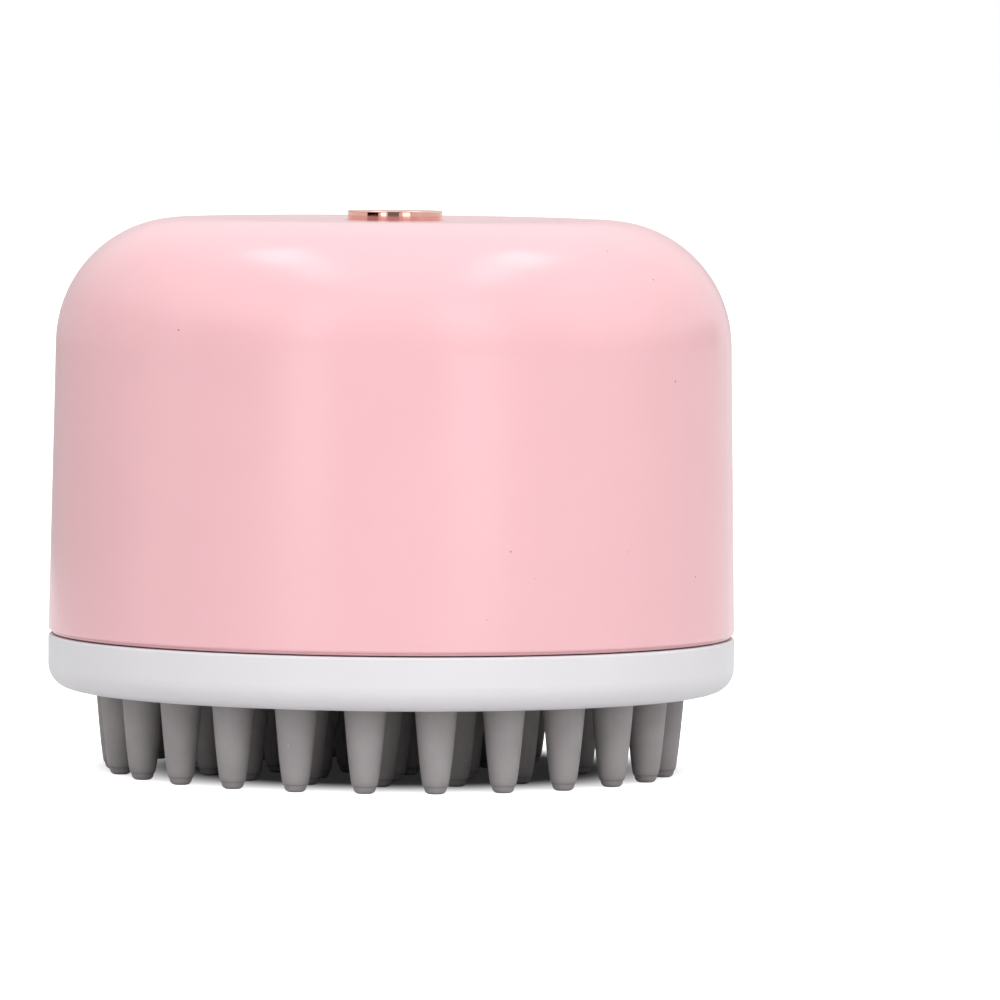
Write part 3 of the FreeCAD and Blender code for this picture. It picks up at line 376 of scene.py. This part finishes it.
def draw_lots(tree, lattice, start, end):
    """A random number for each cell of a lattice: 0 up to start, 1 from end on."""
    parts = tree.nodes.new("ShaderNodeSeparateColor")
    tree.links.new(lattice.outputs["Color"], parts.inputs["Color"])
    return spread(tree, parts.outputs["Red"], 0.0, 1.0, start, end)


def paint_over(tree, shader, factor, colour):
    """Covers the colour so far as much as the factor says."""
    before = shader.inputs["Base Color"].links[0].from_socket
    tree.links.new(mix_colours(tree, factor, before, colour), shader.inputs["Base Color"])


def sprinkle(tree, shader, speck, spacing, size, share):
    """Rare specks: in a share of the cells of a loose lattice lies one speck."""
    lattice = cells(tree, spacing)
    near = spread(tree, lattice.outputs["Distance"], 1.0, 0.0, 0.5 * size / spacing, size / spacing)
    chosen = draw_lots(tree, lattice, 1.0 - share, 1.0 - share + 0.01)
    paint_over(tree, shader, combine(tree, "MULTIPLY", near, chosen), (*speck, 1.0))


def bands(tree, kind, direction, period):
    """Even waves, as straight bands or as rings round an axis."""
    wave = tree.nodes.new("ShaderNodeTexWave")
    wave.wave_type = kind
    setattr(wave, "bands_direction" if kind == "BANDS" else "rings_direction", direction)
    wave.inputs["Scale"].default_value = WAVE_PERIOD / period
    wave.inputs["Distortion"].default_value = WAVE_DISTORTION
    tree.links.new(place_socket(tree), wave.inputs["Vector"])
    return wave.outputs["Fac"]


def paint_shade_line(tree, shader, height, width, shade):
    """Painted shade: a darker line all round at one height."""
    parts = tree.nodes.new("ShaderNodeSeparateXYZ")
    tree.links.new(place_socket(tree), parts.inputs["Vector"])
    below = spread(tree, parts.outputs["Z"], 0.0, 1.0, height - width, height)
    above = spread(tree, parts.outputs["Z"], 1.0, 0.0, height, height + width)
    paint_over(tree, shader, combine(tree, "MULTIPLY", below, above), shade)


def moulded_plastic(name, colour, roughness, cloud=0.012, peel=0.004 * MM, grit=None):
    """Moulded plastic: faint clouds, uneven gloss, a slight orange peel and perhaps specks."""
    finish, tree, shader = new_finish(name, colour)
    mottle(tree, shader, colour, amount=cloud, size=14 * MM)
    vary_roughness(tree, shader, low=roughness * 0.9, high=roughness * 1.12, size=6 * MM)
    emboss(tree, shader, noise(tree, 1.8 * MM), depth=peel)
    emboss(tree, shader, noise(tree, 0.18 * MM), depth=peel * 0.25)
    if grit is not None:
        sprinkle(tree, shader, grit, spacing=3.1 * MM, size=0.17 * MM, share=0.1)
    return finish


def silicone_rubber(name, colour, dust, shade_line_height):
    """Soft matt silicone with faint clouds, specks of dust and painted shade in a line round each
    finger at its tip's step.
    """
    finish, tree, shader = new_finish(name, colour, specular_ior_level=0.2)
    mottle(tree, shader, colour, amount=0.06, size=4 * MM)
    sprinkle(tree, shader, dust, spacing=2.6 * MM, size=0.15 * MM, share=0.3)
    # Painted shade under the step above each tip, as a darker line round the fingers
    paint_shade_line(tree, shader, shade_line_height, width=0.17 * MM, shade=tint(colour, 0.74))
    vary_roughness(tree, shader, low=0.5, high=0.64, size=2.5 * MM)
    emboss(tree, shader, noise(tree, 0.9 * MM, detail=3.0), depth=0.012 * MM)
    emboss(tree, shader, noise(tree, 0.12 * MM), depth=0.003 * MM)
    return finish


def black_rubber(name, colour):
    """Seal rubber with a grey bloom and a slightly rough skin."""
    finish, tree, shader = new_finish(name, colour)
    mottle(tree, shader, colour, amount=0.25, size=3 * MM)
    vary_roughness(tree, shader, low=0.55, high=0.75, size=1.5 * MM)
    emboss(tree, shader, noise(tree, 0.25 * MM, detail=3.0), depth=0.006 * MM)
    return finish


def turned_metal(name, colour, roughness, axis):
    """Turned and polished metal: fine rings round an axis."""
    finish, tree, shader = new_finish(name, colour, metallic=1.0)
    mottle(tree, shader, colour, amount=0.03, size=3 * MM)
    vary_roughness(tree, shader, low=roughness * 0.7, high=roughness * 1.3, size=1.5 * MM)
    emboss(tree, shader, bands(tree, "RINGS", axis, period=0.12 * MM), depth=0.0006 * MM)
    return finish


def drawn_metal(name, colour, roughness, stretch=(1.0, 1.0, 1.0)):
    """Drawn or rolled metal: fine scratches along one way and a little tarnish."""
    finish, tree, shader = new_finish(name, colour, metallic=1.0)
    mottle(tree, shader, colour, amount=0.08, size=2.5 * MM)
    vary_roughness(tree, shader, low=roughness * 0.8, high=roughness * 1.2, size=1.2 * MM)
    emboss(tree, shader, noise(tree, 0.06 * MM, stretch=stretch), depth=0.0012 * MM)
    return finish


def pressed_powder(name, colour, roughness, metallic):
    """Pressed and sintered powder: grains and small pits."""
    finish, tree, shader = new_finish(name, colour, metallic=metallic)
    mottle(tree, shader, colour, amount=0.18, size=0.5 * MM)
    vary_roughness(tree, shader, low=roughness * 0.8, high=roughness * 1.25, size=0.6 * MM)
    emboss(tree, shader, noise(tree, 0.15 * MM, detail=4.0), depth=0.01 * MM)
    return finish


def stacked_sheets(name, colour):
    """A core of thin steel sheets, seen as bands across the shaft."""
    finish, tree, shader = new_finish(name, colour, metallic=1.0)
    edges = bands(tree, "BANDS", "X", period=0.5 * MM)
    mixed = mix_colours(tree, edges, tint(colour, 0.35), tint(colour, 0.9))
    tree.links.new(mixed, shader.inputs["Base Color"])
    vary_roughness(tree, shader, low=0.35, high=0.5, size=1 * MM)
    emboss(tree, shader, edges, depth=0.02 * MM)
    return finish


def shrunk_sleeve(name, colour):
    """A thin glossy sleeve shrunk on a cell, with fine wrinkles along it."""
    finish, tree, shader = new_finish(name, colour, coat_weight=0.4, coat_roughness=0.1)
    mottle(tree, shader, colour, amount=0.08, size=6 * MM)
    vary_roughness(tree, shader, low=0.18, high=0.26, size=3 * MM)
    emboss(tree, shader, noise(tree, 0.8 * MM, stretch=(8.0, 1.0, 1.0)), depth=0.015 * MM)
    return finish


def open_foam(name, colour):
    """Foam with small open cells, with painted shade darkening each cell's pit."""
    finish, tree, shader = new_finish(name, colour, roughness=0.95)
    pores = cells(tree, 0.45 * MM).outputs["Distance"]
    # Painted shade: darker where the cells sink in
    mixed = mix_colours(tree, pores, tint(colour, 0.4), tint(colour, 1.6))
    tree.links.new(mixed, shader.inputs["Base Color"])
    emboss(tree, shader, pores, depth=0.12 * MM)
    return finish


def lacquered_board(name, colour, gold):
    """Board with tracks under lacquer, which run both ways in square fields, and bare pads."""
    finish, tree, shader = new_finish(name, colour)
    fields = cells(tree, 9 * MM)
    fields.distance = "CHEBYCHEV"
    choice = draw_lots(tree, fields, *EVEN_LOTS)
    along, across = (
        spread(tree, bands(tree, "BANDS", way, TRACK_PITCH), 0.0, 1.0, *TRACK_EDGE)
        for way in ("X", "Y")
    )
    tracks = mix_colours(tree, choice, along, across)
    lacquer = mix_colours(tree, tracks, tint(colour, 0.75), tint(colour, 1.5))
    tree.links.new(lacquer, shader.inputs["Base Color"])
    sprinkle(tree, shader, gold, spacing=3.2 * MM, size=0.5 * MM, share=0.35)
    vary_roughness(tree, shader, low=0.2, high=0.26, size=4 * MM)
    emboss(tree, shader, tracks, depth=0.03 * MM)
    return finish


def clear_plastic(name, colour):
    """Clear light pipe and lamp, slightly milky."""
    finish, tree, shader = new_finish(name, colour, transmission_weight=0.45, ior=1.49)
    mottle(tree, shader, colour, amount=0.03, size=1 * MM)
    vary_roughness(tree, shader, low=0.12, high=0.22, size=1 * MM)
    emboss(tree, shader, noise(tree, 0.4 * MM), depth=0.004 * MM)
    return finish


def dress(finish, *nodes):
    """Gives a finish to the frame's own pieces."""
    for name in nodes:
        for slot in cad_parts[name].material_slots:
            slot.material = finish


def add_piece(name, mesh, finish, body):
    """Links a new piece that rides on a body."""
    piece = bpy.data.objects.new(name, mesh)
    mesh.materials.append(finish)
    bpy.context.scene.collection.objects.link(piece)
    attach(piece, body)
    return piece


def circle(mesh, radius, height, middle, count):
    """A loop of vertices round a vertical axis."""
    loop = []
    for i in range(count):
        turn = FULL_TURN * i / count
        place = (middle.x + radius * math.cos(turn), middle.y + radius * math.sin(turn), height)
        loop.append(mesh.verts.new(place))
    return loop


def bridge(mesh, below, above):
    """Joins two loops of as many vertices, below seen from outside under above."""
    count = len(below)
    for i in range(count):
        j = (i + 1) % count
        mesh.faces.new((below[i], below[j], above[j], above[i]))


def arc_points(centre_radius, centre_height, radius, start, end, steps):
    """Points of a section's arc, from start to end in degrees from the outward direction."""
    points = []
    for i in range(steps + 1):
        turn = math.radians(start + (end - start) * i / steps)
        out, up = radius * math.cos(turn), radius * math.sin(turn)
        points.append((centre_radius + out, centre_height + up))
    return points


def finger_section(sizes):
    """Radius and height pairs of a finger, from its flat tip up to its flared root."""
    tip, soft = sizes.tip_radius, sizes.tip_round
    points = arc_points(tip - soft, soft, soft, *TIP_ARC, TIP_STEPS)
    neck = sizes.shoulder_radius - sizes.shoulder_step
    line = sizes.shoulder_step / 2
    points.append((neck, sizes.shoulder_height - line))
    points.append((sizes.shoulder_radius, sizes.shoulder_height + line))
    top = sizes.land_height - sizes.root_flare
    low = sizes.shoulder_height + line
    growth = sizes.root_radius - sizes.shoulder_radius
    for i in range(1, BODY_STEPS + 1):
        share = i / BODY_STEPS
        radius = sizes.shoulder_radius + growth * share**BULGE_POWER
        points.append((radius, low + (top - low) * share))
    outer = sizes.root_radius + sizes.root_flare
    flare = arc_points(outer, top, sizes.root_flare, 180, 90, FLARE_STEPS)
    return points + flare[1:]


def finger_places(sizes):
    """The middle of every finger, ring by ring."""
    places = []
    for count, share, first in zip(sizes.counts, sizes.ring_shares, sizes.first_turns):
        for i in range(count):
            turn = first + FULL_TURN * i / count - math.pi / 2
            radius = sizes.outer_ring * share
            places.append(Vector((radius * math.cos(turn), radius * math.sin(turn), 0.0)))
    return places


def add_finger(mesh, section, middle):
    """One finger, closed at its tip; gives back the loop at its root."""
    below = circle(mesh, *section[0], middle, FINGER_SIDES)
    mesh.faces.new(list(reversed(below)))
    for radius, height in section[1:]:
        above = circle(mesh, radius, height, middle, FINGER_SIDES)
        bridge(mesh, below, above)
        below = above
    return below


def fill_land(mesh, rim, roots):
    """Fills the pad's flat face between its rim and the fingers' roots."""
    loops = [rim, *roots]
    owners = [number for number, loop in enumerate(loops) for _ in loop]
    corners = [vertex for loop in loops for vertex in loop]
    edges = []
    for loop in loops:
        start = corners.index(loop[0])
        edges += [(start + i, start + (i + 1) % len(loop)) for i in range(len(loop))]
    flat = [vertex.co.xy for vertex in corners]
    _, _, faces, origins, _, _ = delaunay_2d_cdt(flat, edges, [], FILL_INSIDE, FILL_CLOSENESS)
    for face in faces:
        ids = [origins[i][0] for i in face]
        inside = {owners[i] for i in ids}
        if len(inside) > 1 or inside == {0}:
            mesh.faces.new([corners[i] for i in reversed(ids)])


def finger_mesh(sizes):
    """The whole pad as one closed mesh: fingers, flat face, edge, flange and back."""
    mesh = bmesh.new()
    section = finger_section(sizes)
    roots = [add_finger(mesh, section, place) for place in finger_places(sizes)]
    axis = Vector((0.0, 0.0, 0.0))
    inner, foot = sizes.land_radius - LAND_EDGE, sizes.land_height + LAND_EDGE
    outside = arc_points(inner, foot, LAND_EDGE, -90, 0, TIP_STEPS)
    outside += [
        (sizes.land_radius, sizes.flange_height),
        (PAD_CORNER.x, sizes.flange_height),
        (PAD_CORNER.x, PAD_CORNER.z),
    ]
    loops = [circle(mesh, radius, height, axis, RIM_SIDES) for radius, height in outside]
    fill_land(mesh, loops[0], roots)
    for below, above in zip(loops, loops[1:]):
        bridge(mesh, below, above)
    mesh.faces.new(loops[-1])
    for face in mesh.faces:
        face.smooth = True
    data = bpy.data.meshes.new("silicone_fingers")
    mesh.to_mesh(data)
    mesh.free()
    data.set_sharp_from_angle(angle=SHARP_EDGE)
    return data


class BRUSH_OT_shell(bpy.types.Operator):
    """Glossy pink finish of the domed shell, with a few specks of grit"""

    bl_idname = "brush.shell"
    bl_label = "Domed shell"

    def execute(self, context):
        colours = context.scene.brush_colours
        finish = moulded_plastic("pink_gloss", colours.shell, roughness=0.2, grit=colours.grit)
        dress(finish, "top_shell")
        return {"FINISHED"}


class BRUSH_OT_head(bpy.types.Operator):
    """Satin white finish of the ring, the plate behind the fingers and the cover"""

    bl_idname = "brush.head"
    bl_label = "Ring, plate and cover"

    def execute(self, context):
        finish = moulded_plastic("white_satin", context.scene.brush_colours.ring, roughness=0.4)
        dress(finish, "head_ring", "pad_plate", "bottom_cover")
        return {"FINISHED"}


class BRUSH_OT_fingers(bpy.types.Operator):
    """Silicone moulding with its rings of fingers"""

    bl_idname = "brush.fingers"
    bl_label = "Silicone fingers"

    def execute(self, context):
        colours = context.scene.brush_colours
        sizes = context.scene.brush_fingers
        # Height of the tip's step, where shade is painted in a line round the fingers
        line = sizes.shoulder_height
        grey = silicone_rubber("silicone_grey", colours.silicone, colours.dust, line)
        mesh = finger_mesh(sizes)
        fingers = add_piece("silicone_fingers", mesh, grey, "brush_head")
        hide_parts("silicone_pad")
        return {"FINISHED"}


class BRUSH_OT_button(bpy.types.Operator):
    """Polished rose gold push button, with the black plunger under it"""

    bl_idname = "brush.button"
    bl_label = "Push button"

    def execute(self, context):
        colours = context.scene.brush_colours
        dress(turned_metal("rose_gold", colours.button, roughness=0.05, axis="Z"), "button_cap")
        plunger = moulded_plastic("plunger_black", colours.black, roughness=0.45, cloud=0.1)
        dress(plunger, "switch_plunger")
        return {"FINISHED"}


class BRUSH_OT_seals(bpy.types.Operator):
    """Black rubber of the seal, the grip ring and the button's ring"""

    bl_idname = "brush.seals"
    bl_label = "Seals"

    def execute(self, context):
        rubber = black_rubber("seal_black", context.scene.brush_colours.rubber)
        dress(rubber, "cover_seal", "head_grip_ring", "button_seal_ring")
        return {"FINISHED"}


class BRUSH_OT_screws(bpy.types.Operator):
    """Steel of the screws and the button's clip"""

    bl_idname = "brush.screws"
    bl_label = "Screws and clip"

    def execute(self, context):
        steel = drawn_metal("screw_steel", context.scene.brush_colours.steel, roughness=0.36)
        dress(steel, "cover_screws", "chassis_screws", "strap_screws", "board_screws")
        dress(steel, "button_clip")
        return {"FINISHED"}


class BRUSH_OT_chassis(bpy.types.Operator):
    """Matt grey plastic of the chassis"""

    bl_idname = "brush.chassis"
    bl_label = "Chassis"

    def execute(self, context):
        grey = moulded_plastic("chassis_grey", context.scene.brush_colours.chassis, roughness=0.55)
        dress(grey, "chassis")
        return {"FINISHED"}


class BRUSH_OT_motor(bpy.types.Operator):
    """Finishes of the motor, its strap, its rotor and the weight on the shaft"""

    bl_idname = "brush.motor"
    bl_label = "Motor"

    def execute(self, context):
        colours = context.scene.brush_colours
        can = drawn_metal("can_steel", colours.steel, roughness=0.22, stretch=(20.0, 1.0, 1.0))
        dress(can, "motor_can")
        strap = drawn_metal("strap_steel", colours.steel, roughness=0.36, stretch=(1.0, 12.0, 12.0))
        dress(strap, "motor_strap")
        dress(turned_metal("shaft_steel", colours.steel, roughness=0.14, axis="X"), "motor_shaft")
        dress(stacked_sheets("core_sheets", colours.steel), "motor_armature")
        weight = pressed_powder("weight_metal", colours.steel, roughness=0.45, metallic=1.0)
        dress(weight, "eccentric_weight")
        bush = pressed_powder("bush_bronze", colours.bronze, roughness=0.4, metallic=1.0)
        dress(bush, "motor_bushes")
        magnet = pressed_powder("magnet_grey", colours.magnet, roughness=0.7, metallic=0.0)
        dress(magnet, "motor_magnets")
        along = (10.0, 1.0, 1.0)
        brass = drawn_metal("terminal_brass", colours.brass, roughness=0.22, stretch=along)
        dress(brass, "motor_terminals")
        cap = moulded_plastic("end_cap_black", colours.black, roughness=0.5, cloud=0.12)
        dress(cap, "motor_end_cap")
        return {"FINISHED"}


class BRUSH_OT_cell(bpy.types.Operator):
    """Finishes of the cell, its tabs and the foam under it"""

    bl_idname = "brush.cell"
    bl_label = "Cell"

    def execute(self, context):
        colours = context.scene.brush_colours
        dress(shrunk_sleeve("cell_sleeve", colours.wrap), "battery_cell")
        brass = drawn_metal("tab_brass", colours.brass, roughness=0.22, stretch=(1.0, 1.0, 10.0))
        dress(brass, "battery_tabs")
        dress(open_foam("foam_black", colours.foam), "battery_foam")
        return {"FINISHED"}


class BRUSH_OT_leads(bpy.types.Operator):
    """Insulation of the red and black leads"""

    bl_idname = "brush.leads"
    bl_label = "Leads"

    def execute(self, context):
        colours = context.scene.brush_colours
        skin = {"roughness": 0.4, "peel": 0.01 * MM}
        red = moulded_plastic("lead_red", colours.red, cloud=0.06, **skin)
        dress(red, "motor_lead_red", "battery_lead_red")
        black = moulded_plastic("lead_black", colours.dark, cloud=0.1, **skin)
        dress(black, "motor_lead_black", "battery_lead_black")
        return {"FINISHED"}


class BRUSH_OT_board(bpy.types.Operator):
    """Finishes of the board, its chips and the switch"""

    bl_idname = "brush.board"
    bl_label = "Board and switch"

    def execute(self, context):
        colours = context.scene.brush_colours
        dress(lacquered_board("board_green", colours.board, colours.gold), "main_board")
        chips = moulded_plastic(
            "chip_black", colours.black, roughness=0.6, cloud=0.15, peel=0.008 * MM
        )
        dress(chips, "board_chips")
        switch = moulded_plastic("switch_black", colours.black, roughness=0.45, cloud=0.1)
        dress(switch, "tact_switch")
        return {"FINISHED"}


def contact_mesh(sizes):
    """Two rows of thin strips, on top of the socket's blade and under it."""
    low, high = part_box("usb_tongue")
    middle = (low + high) / 2
    end = high.y - sizes.contact_inset
    mesh = bmesh.new()
    for side in (-1, 1):
        height = middle.z + side * (sizes.blade_thickness + sizes.contact_thickness) / 2
        for i in range(sizes.contacts):
            across = middle.x + (i - (sizes.contacts - 1) / 2) * sizes.contact_pitch
            place = Matrix.Translation((across, end - sizes.contact_length / 2, height))
            strip = (sizes.contact_width, sizes.contact_length, sizes.contact_thickness, 1.0)
            bmesh.ops.create_cube(mesh, size=1.0, matrix=place @ Matrix.Diagonal(strip))
    data = bpy.data.meshes.new("socket_contacts")
    mesh.to_mesh(data)
    mesh.free()
    return data


class BRUSH_OT_socket(bpy.types.Operator):
    """Charging socket with its gold contacts, and the light beside it"""

    bl_idname = "brush.socket"
    bl_label = "Charging socket"

    def execute(self, context):
        colours = context.scene.brush_colours
        steel = drawn_metal("socket_steel", colours.steel, roughness=0.2, stretch=(1.0, 14.0, 1.0))
        dress(steel, "usb_shell")
        tongue = moulded_plastic("tongue_black", colours.black, roughness=0.4, cloud=0.1)
        dress(tongue, "usb_tongue")
        dress(clear_plastic("lamp_clear", colours.lamp), "charge_light_pipe", "charge_lamp")
        gold = drawn_metal("contact_gold", colours.gold, roughness=0.2, stretch=(1.0, 12.0, 1.0))
        mesh = contact_mesh(context.scene.brush_socket)
        add_piece("socket_contacts", mesh, gold, "housing")
        return {"FINISHED"}


def seen_in_gloss(tree, path):
    """1 for rays that gloss or clear plastic sends on, else 0."""
    glossy, sent_on = path.outputs["Is Glossy Ray"], path.outputs["Is Transmission Ray"]
    return combine(tree, "MAXIMUM", glossy, sent_on)


def add_floor(studio):
    """A white floor with a painted shadow, dark in colour under the brush, that keeps the real
    shadow near the brush and glows white further off.
    """
    bpy.ops.mesh.primitive_plane_add(size=FLOOR_SIZE)
    floor = bpy.context.object
    floor.name = "floor"
    plain = [studio.floor_shadow_and_white[1]] * 3
    finish, tree, shader = new_finish(
        "floor_shadow_and_white", plain, roughness=0.9, specular_ior_level=0.0, emission_color=WHITE
    )
    geometry = tree.nodes.new("ShaderNodeNewGeometry")
    distance = tree.nodes.new("ShaderNodeVectorMath")
    distance.operation = "DISTANCE"
    distance.inputs[1].default_value = SHADOW_MIDDLE
    tree.links.new(geometry.outputs["Position"], distance.inputs[0])
    glow = spread(tree, distance.outputs["Value"], SHADOW_WHITE, 1.0, *studio.floor_glow)
    glow.node.interpolation_type = "SMOOTHSTEP"
    # Painted shadow: the floor's colour turns from dark under the brush to white beside it
    white = mix_colours(tree, glow, *((w, w, w, 1.0) for w in studio.floor_shadow_and_white))
    tree.links.new(white, shader.inputs["Base Color"])
    path = tree.nodes.new("ShaderNodeLightPath")
    gloss = seen_in_gloss(tree, path)
    mirrored = spread(tree, gloss, 0.0, studio.floor_gloss, 0.0, 1.0)
    seen = combine(tree, "MAXIMUM", path.outputs["Is Camera Ray"], mirrored)
    tree.links.new(combine(tree, "MULTIPLY", glow, seen), shader.inputs["Emission Strength"])
    floor.data.materials.append(finish)


def seen_from(target, turn, rise, distance):
    """A place round the target: turned right from its front and raised above it, in degrees."""
    turn, rise = math.radians(turn), math.radians(rise)
    level, up = math.cos(rise) * distance, math.sin(rise) * distance
    return target + Vector((level * math.sin(turn), -level * math.cos(turn), up))


def set_facing(thing, target, place):
    """Sets a lamp or a card at a place, turned to the target."""
    thing.location = place
    thing.rotation_mode = "QUATERNION"
    thing.rotation_quaternion = (target - place).to_track_quat("-Z", "Y")
    bpy.context.scene.collection.objects.link(thing)


def add_soft_box(name, target, place, size, brightness, mirrored=True):
    """A lamp with a flat front, as bright all over as the number says."""
    lamp = bpy.data.lights.new(name, "AREA")
    lamp.shape = "RECTANGLE"
    lamp.size, lamp.size_y = size
    lamp.energy = brightness * math.pi * size[0] * size[1]
    box = bpy.data.objects.new(name, lamp)
    set_facing(box, target, place)
    box.visible_camera = False
    box.visible_glossy = mirrored


def add_card(name, target, place, size, white):
    """A black, grey or white card that shows only in gloss."""
    grid = bmesh.new()
    bmesh.ops.create_grid(grid, x_segments=1, y_segments=1, size=0.5)
    data = bpy.data.meshes.new(name)
    grid.to_mesh(data)
    grid.free()
    card = bpy.data.objects.new(name, data)
    card.scale = (*size, 1.0)
    set_facing(card, target, place)
    finish, _, _ = new_finish(
        name,
        (0.0, 0.0, 0.0),
        roughness=1.0,
        specular_ior_level=0.0,
        emission_color=WHITE,
        emission_strength=white,
    )
    data.materials.append(finish)
    card.visible_camera = card.visible_diffuse = card.visible_shadow = False
    card.visible_transmission = card.visible_volume_scatter = False


def toward(tree, direction):
    """How far a ray of the sky points in a direction, from -1 to 1."""
    way = tree.nodes.new("ShaderNodeTexCoord")
    node = tree.nodes.new("ShaderNodeVectorMath")
    node.operation = "DOT_PRODUCT"
    node.inputs[1].default_value = direction
    tree.links.new(way.outputs["Generated"], node.inputs[0])
    return node.outputs["Value"]


def set_sky(studio):
    """A plain sky, brighter at the front: white to the camera, pale in gloss, softer as light."""
    world = bpy.data.worlds.new("studio_sky")
    bpy.context.scene.world = world
    world.use_nodes = True
    tree = world.node_tree
    background = tree.nodes["Background"]
    background.inputs["Color"].default_value = WHITE
    front = toward(tree, SKY_FRONT)
    high = spread(tree, toward(tree, SKY_UP), *studio.sky_rise, 0.0, 1.0)
    lighting = combine(tree, "MULTIPLY", spread(tree, front, *studio.sky, *LIGHT_SPAN), high)
    roof = spread(tree, toward(tree, SKY_ROOF), 0.0, studio.mirrored_roof, *ROOF_SPAN)
    mirrored = combine(tree, "ADD", spread(tree, front, *studio.mirrored_sky, *GLOSS_SPAN), roof)
    path = tree.nodes.new("ShaderNodeLightPath")
    gloss = seen_in_gloss(tree, path)
    soft = spread(tree, gloss, 0.0, 1.0, 0.0, 1.0).node
    tree.links.new(lighting, soft.inputs["To Min"])
    tree.links.new(mirrored, soft.inputs["To Max"])
    seen = spread(tree, path.outputs["Is Camera Ray"], 0.0, 1.0, 0.0, 1.0).node
    tree.links.new(soft.outputs["Result"], seen.inputs["To Min"])
    tree.links.new(seen.outputs["Result"], background.inputs["Strength"])


def add_camera(studio):
    """The photograph's view: long lens, a little above the brush, aimed right of it."""
    lens = bpy.data.cameras.new("photo_camera")
    lens.lens = studio.lens
    camera = bpy.data.objects.new("photo_camera", lens)
    camera.location = (0.0, -studio.camera_distance, studio.camera_height)
    aim = Vector((studio.aim_right, 0.0, studio.aim_height)) - camera.location
    roll = Quaternion((0.0, 0.0, 1.0), studio.roll)
    camera.rotation_mode = "QUATERNION"
    camera.rotation_quaternion = aim.to_track_quat("-Z", "Y") @ roll
    bpy.context.scene.collection.objects.link(camera)
    bpy.context.scene.camera = camera


def add_front_lights(studio):
    """Two soft boxes at the front, and for each a card and a low strip that gloss shows."""
    for (name, turn, width), bright in zip(FRONT_LIGHTS, studio.front_boxes):
        place = seen_from(SHELL_MIDDLE, turn, FRONT_BOX_RISE, FRONT_DISTANCE)
        size = (width, FRONT_BOX_HEIGHT)
        add_soft_box(f"front_box_{name}", SHELL_MIDDLE, place, size, bright, mirrored=False)
        for (part, rise, height), white in zip(FRONT_CARDS, studio.front_cards):
            place = seen_from(SHELL_MIDDLE, turn, rise, FRONT_DISTANCE)
            add_card(f"front_{part}_{name}", SHELL_MIDDLE, place, (width, height), white)


def add_top_lights(studio):
    """Two soft boxes overhead, each with a card in front of it, and a big one above the camera."""
    for (name, box_place, card_place), bright in zip(TOP_LIGHTS, studio.top_boxes):
        place = SHELL_MIDDLE + Vector(box_place)
        add_soft_box(f"top_box_{name}", place + DOWN, place, TOP_BOX_SIZE, bright)
        place = SHELL_MIDDLE + Vector(card_place)
        add_card(f"top_card_{name}", place + DOWN, place, TOP_CARD_SIZE, studio.top_cards)
    place = seen_from(SHELL_MIDDLE, BIG_BOX_TURN, BIG_BOX_RISE, BIG_BOX_DISTANCE)
    add_soft_box("big_box", SHELL_MIDDLE, place, BIG_BOX_SIZE, studio.big_box, mirrored=False)


class BRUSH_OT_stage(bpy.types.Operator):
    """White floor and sky, soft boxes, cards that shape the gloss, and the camera"""

    bl_idname = "brush.stage"
    bl_label = "Studio and camera"

    def execute(self, context):
        studio = context.scene.brush_studio
        add_floor(studio)
        set_sky(studio)
        add_front_lights(studio)
        add_top_lights(studio)
        for name, turn, rise, distance, size, white in CARDS:
            place = seen_from(SHELL_MIDDLE, turn, rise, distance)
            add_card(f"card_{name}", SHELL_MIDDLE, place, size, white)
        add_camera(studio)
        context.scene.view_settings.view_transform = "Standard"
        return {"FINISHED"}


OPERATORS = (
    BRUSH_OT_shell,
    BRUSH_OT_head,
    BRUSH_OT_fingers,
    BRUSH_OT_button,
    BRUSH_OT_seals,
    BRUSH_OT_screws,
    BRUSH_OT_chassis,
    BRUSH_OT_motor,
    BRUSH_OT_cell,
    BRUSH_OT_leads,
    BRUSH_OT_board,
    BRUSH_OT_socket,
    BRUSH_OT_stage,
)
SETTINGS = {
    "brush_colours": BrushColours,
    "brush_fingers": BrushFingerSizes,
    "brush_socket": BrushSocketSizes,
    "brush_studio": BrushStudio,
}


class BRUSH_PT_panel(bpy.types.Panel):
    """Lists the brush's pieces and settings"""

    bl_label = "Pet massage brush"
    bl_space_type = "VIEW_3D"
    bl_region_type = "UI"
    bl_category = "Brush"

    def draw(self, context):
        for operator in OPERATORS:
            self.layout.operator(operator.bl_idname)
        for name in SETTINGS:
            settings = getattr(context.scene, name)
            for key in settings.bl_rna.properties.keys():
                if key not in ("rna_type", "name"):
                    self.layout.prop(settings, key)


CLASSES = (*SETTINGS.values(), *OPERATORS, BRUSH_PT_panel)


def register():
    for cls in CLASSES:
        bpy.utils.register_class(cls)
    for name, group in SETTINGS.items():
        setattr(bpy.types.Scene, name, bpy.props.PointerProperty(type=group))


def unregister():
    for name in SETTINGS:
        delattr(bpy.types.Scene, name)
    for cls in reversed(CLASSES):
        bpy.utils.unregister_class(cls)


def main():
    register()
    bpy.ops.brush.shell()
    bpy.ops.brush.head()
    bpy.ops.brush.fingers()
    bpy.ops.brush.button()
    bpy.ops.brush.seals()
    bpy.ops.brush.screws()
    bpy.ops.brush.chassis()
    bpy.ops.brush.motor()
    bpy.ops.brush.cell()
    bpy.ops.brush.leads()
    bpy.ops.brush.board()
    bpy.ops.brush.socket()
    bpy.ops.brush.stage()


if __name__ == "__main__":
    main()
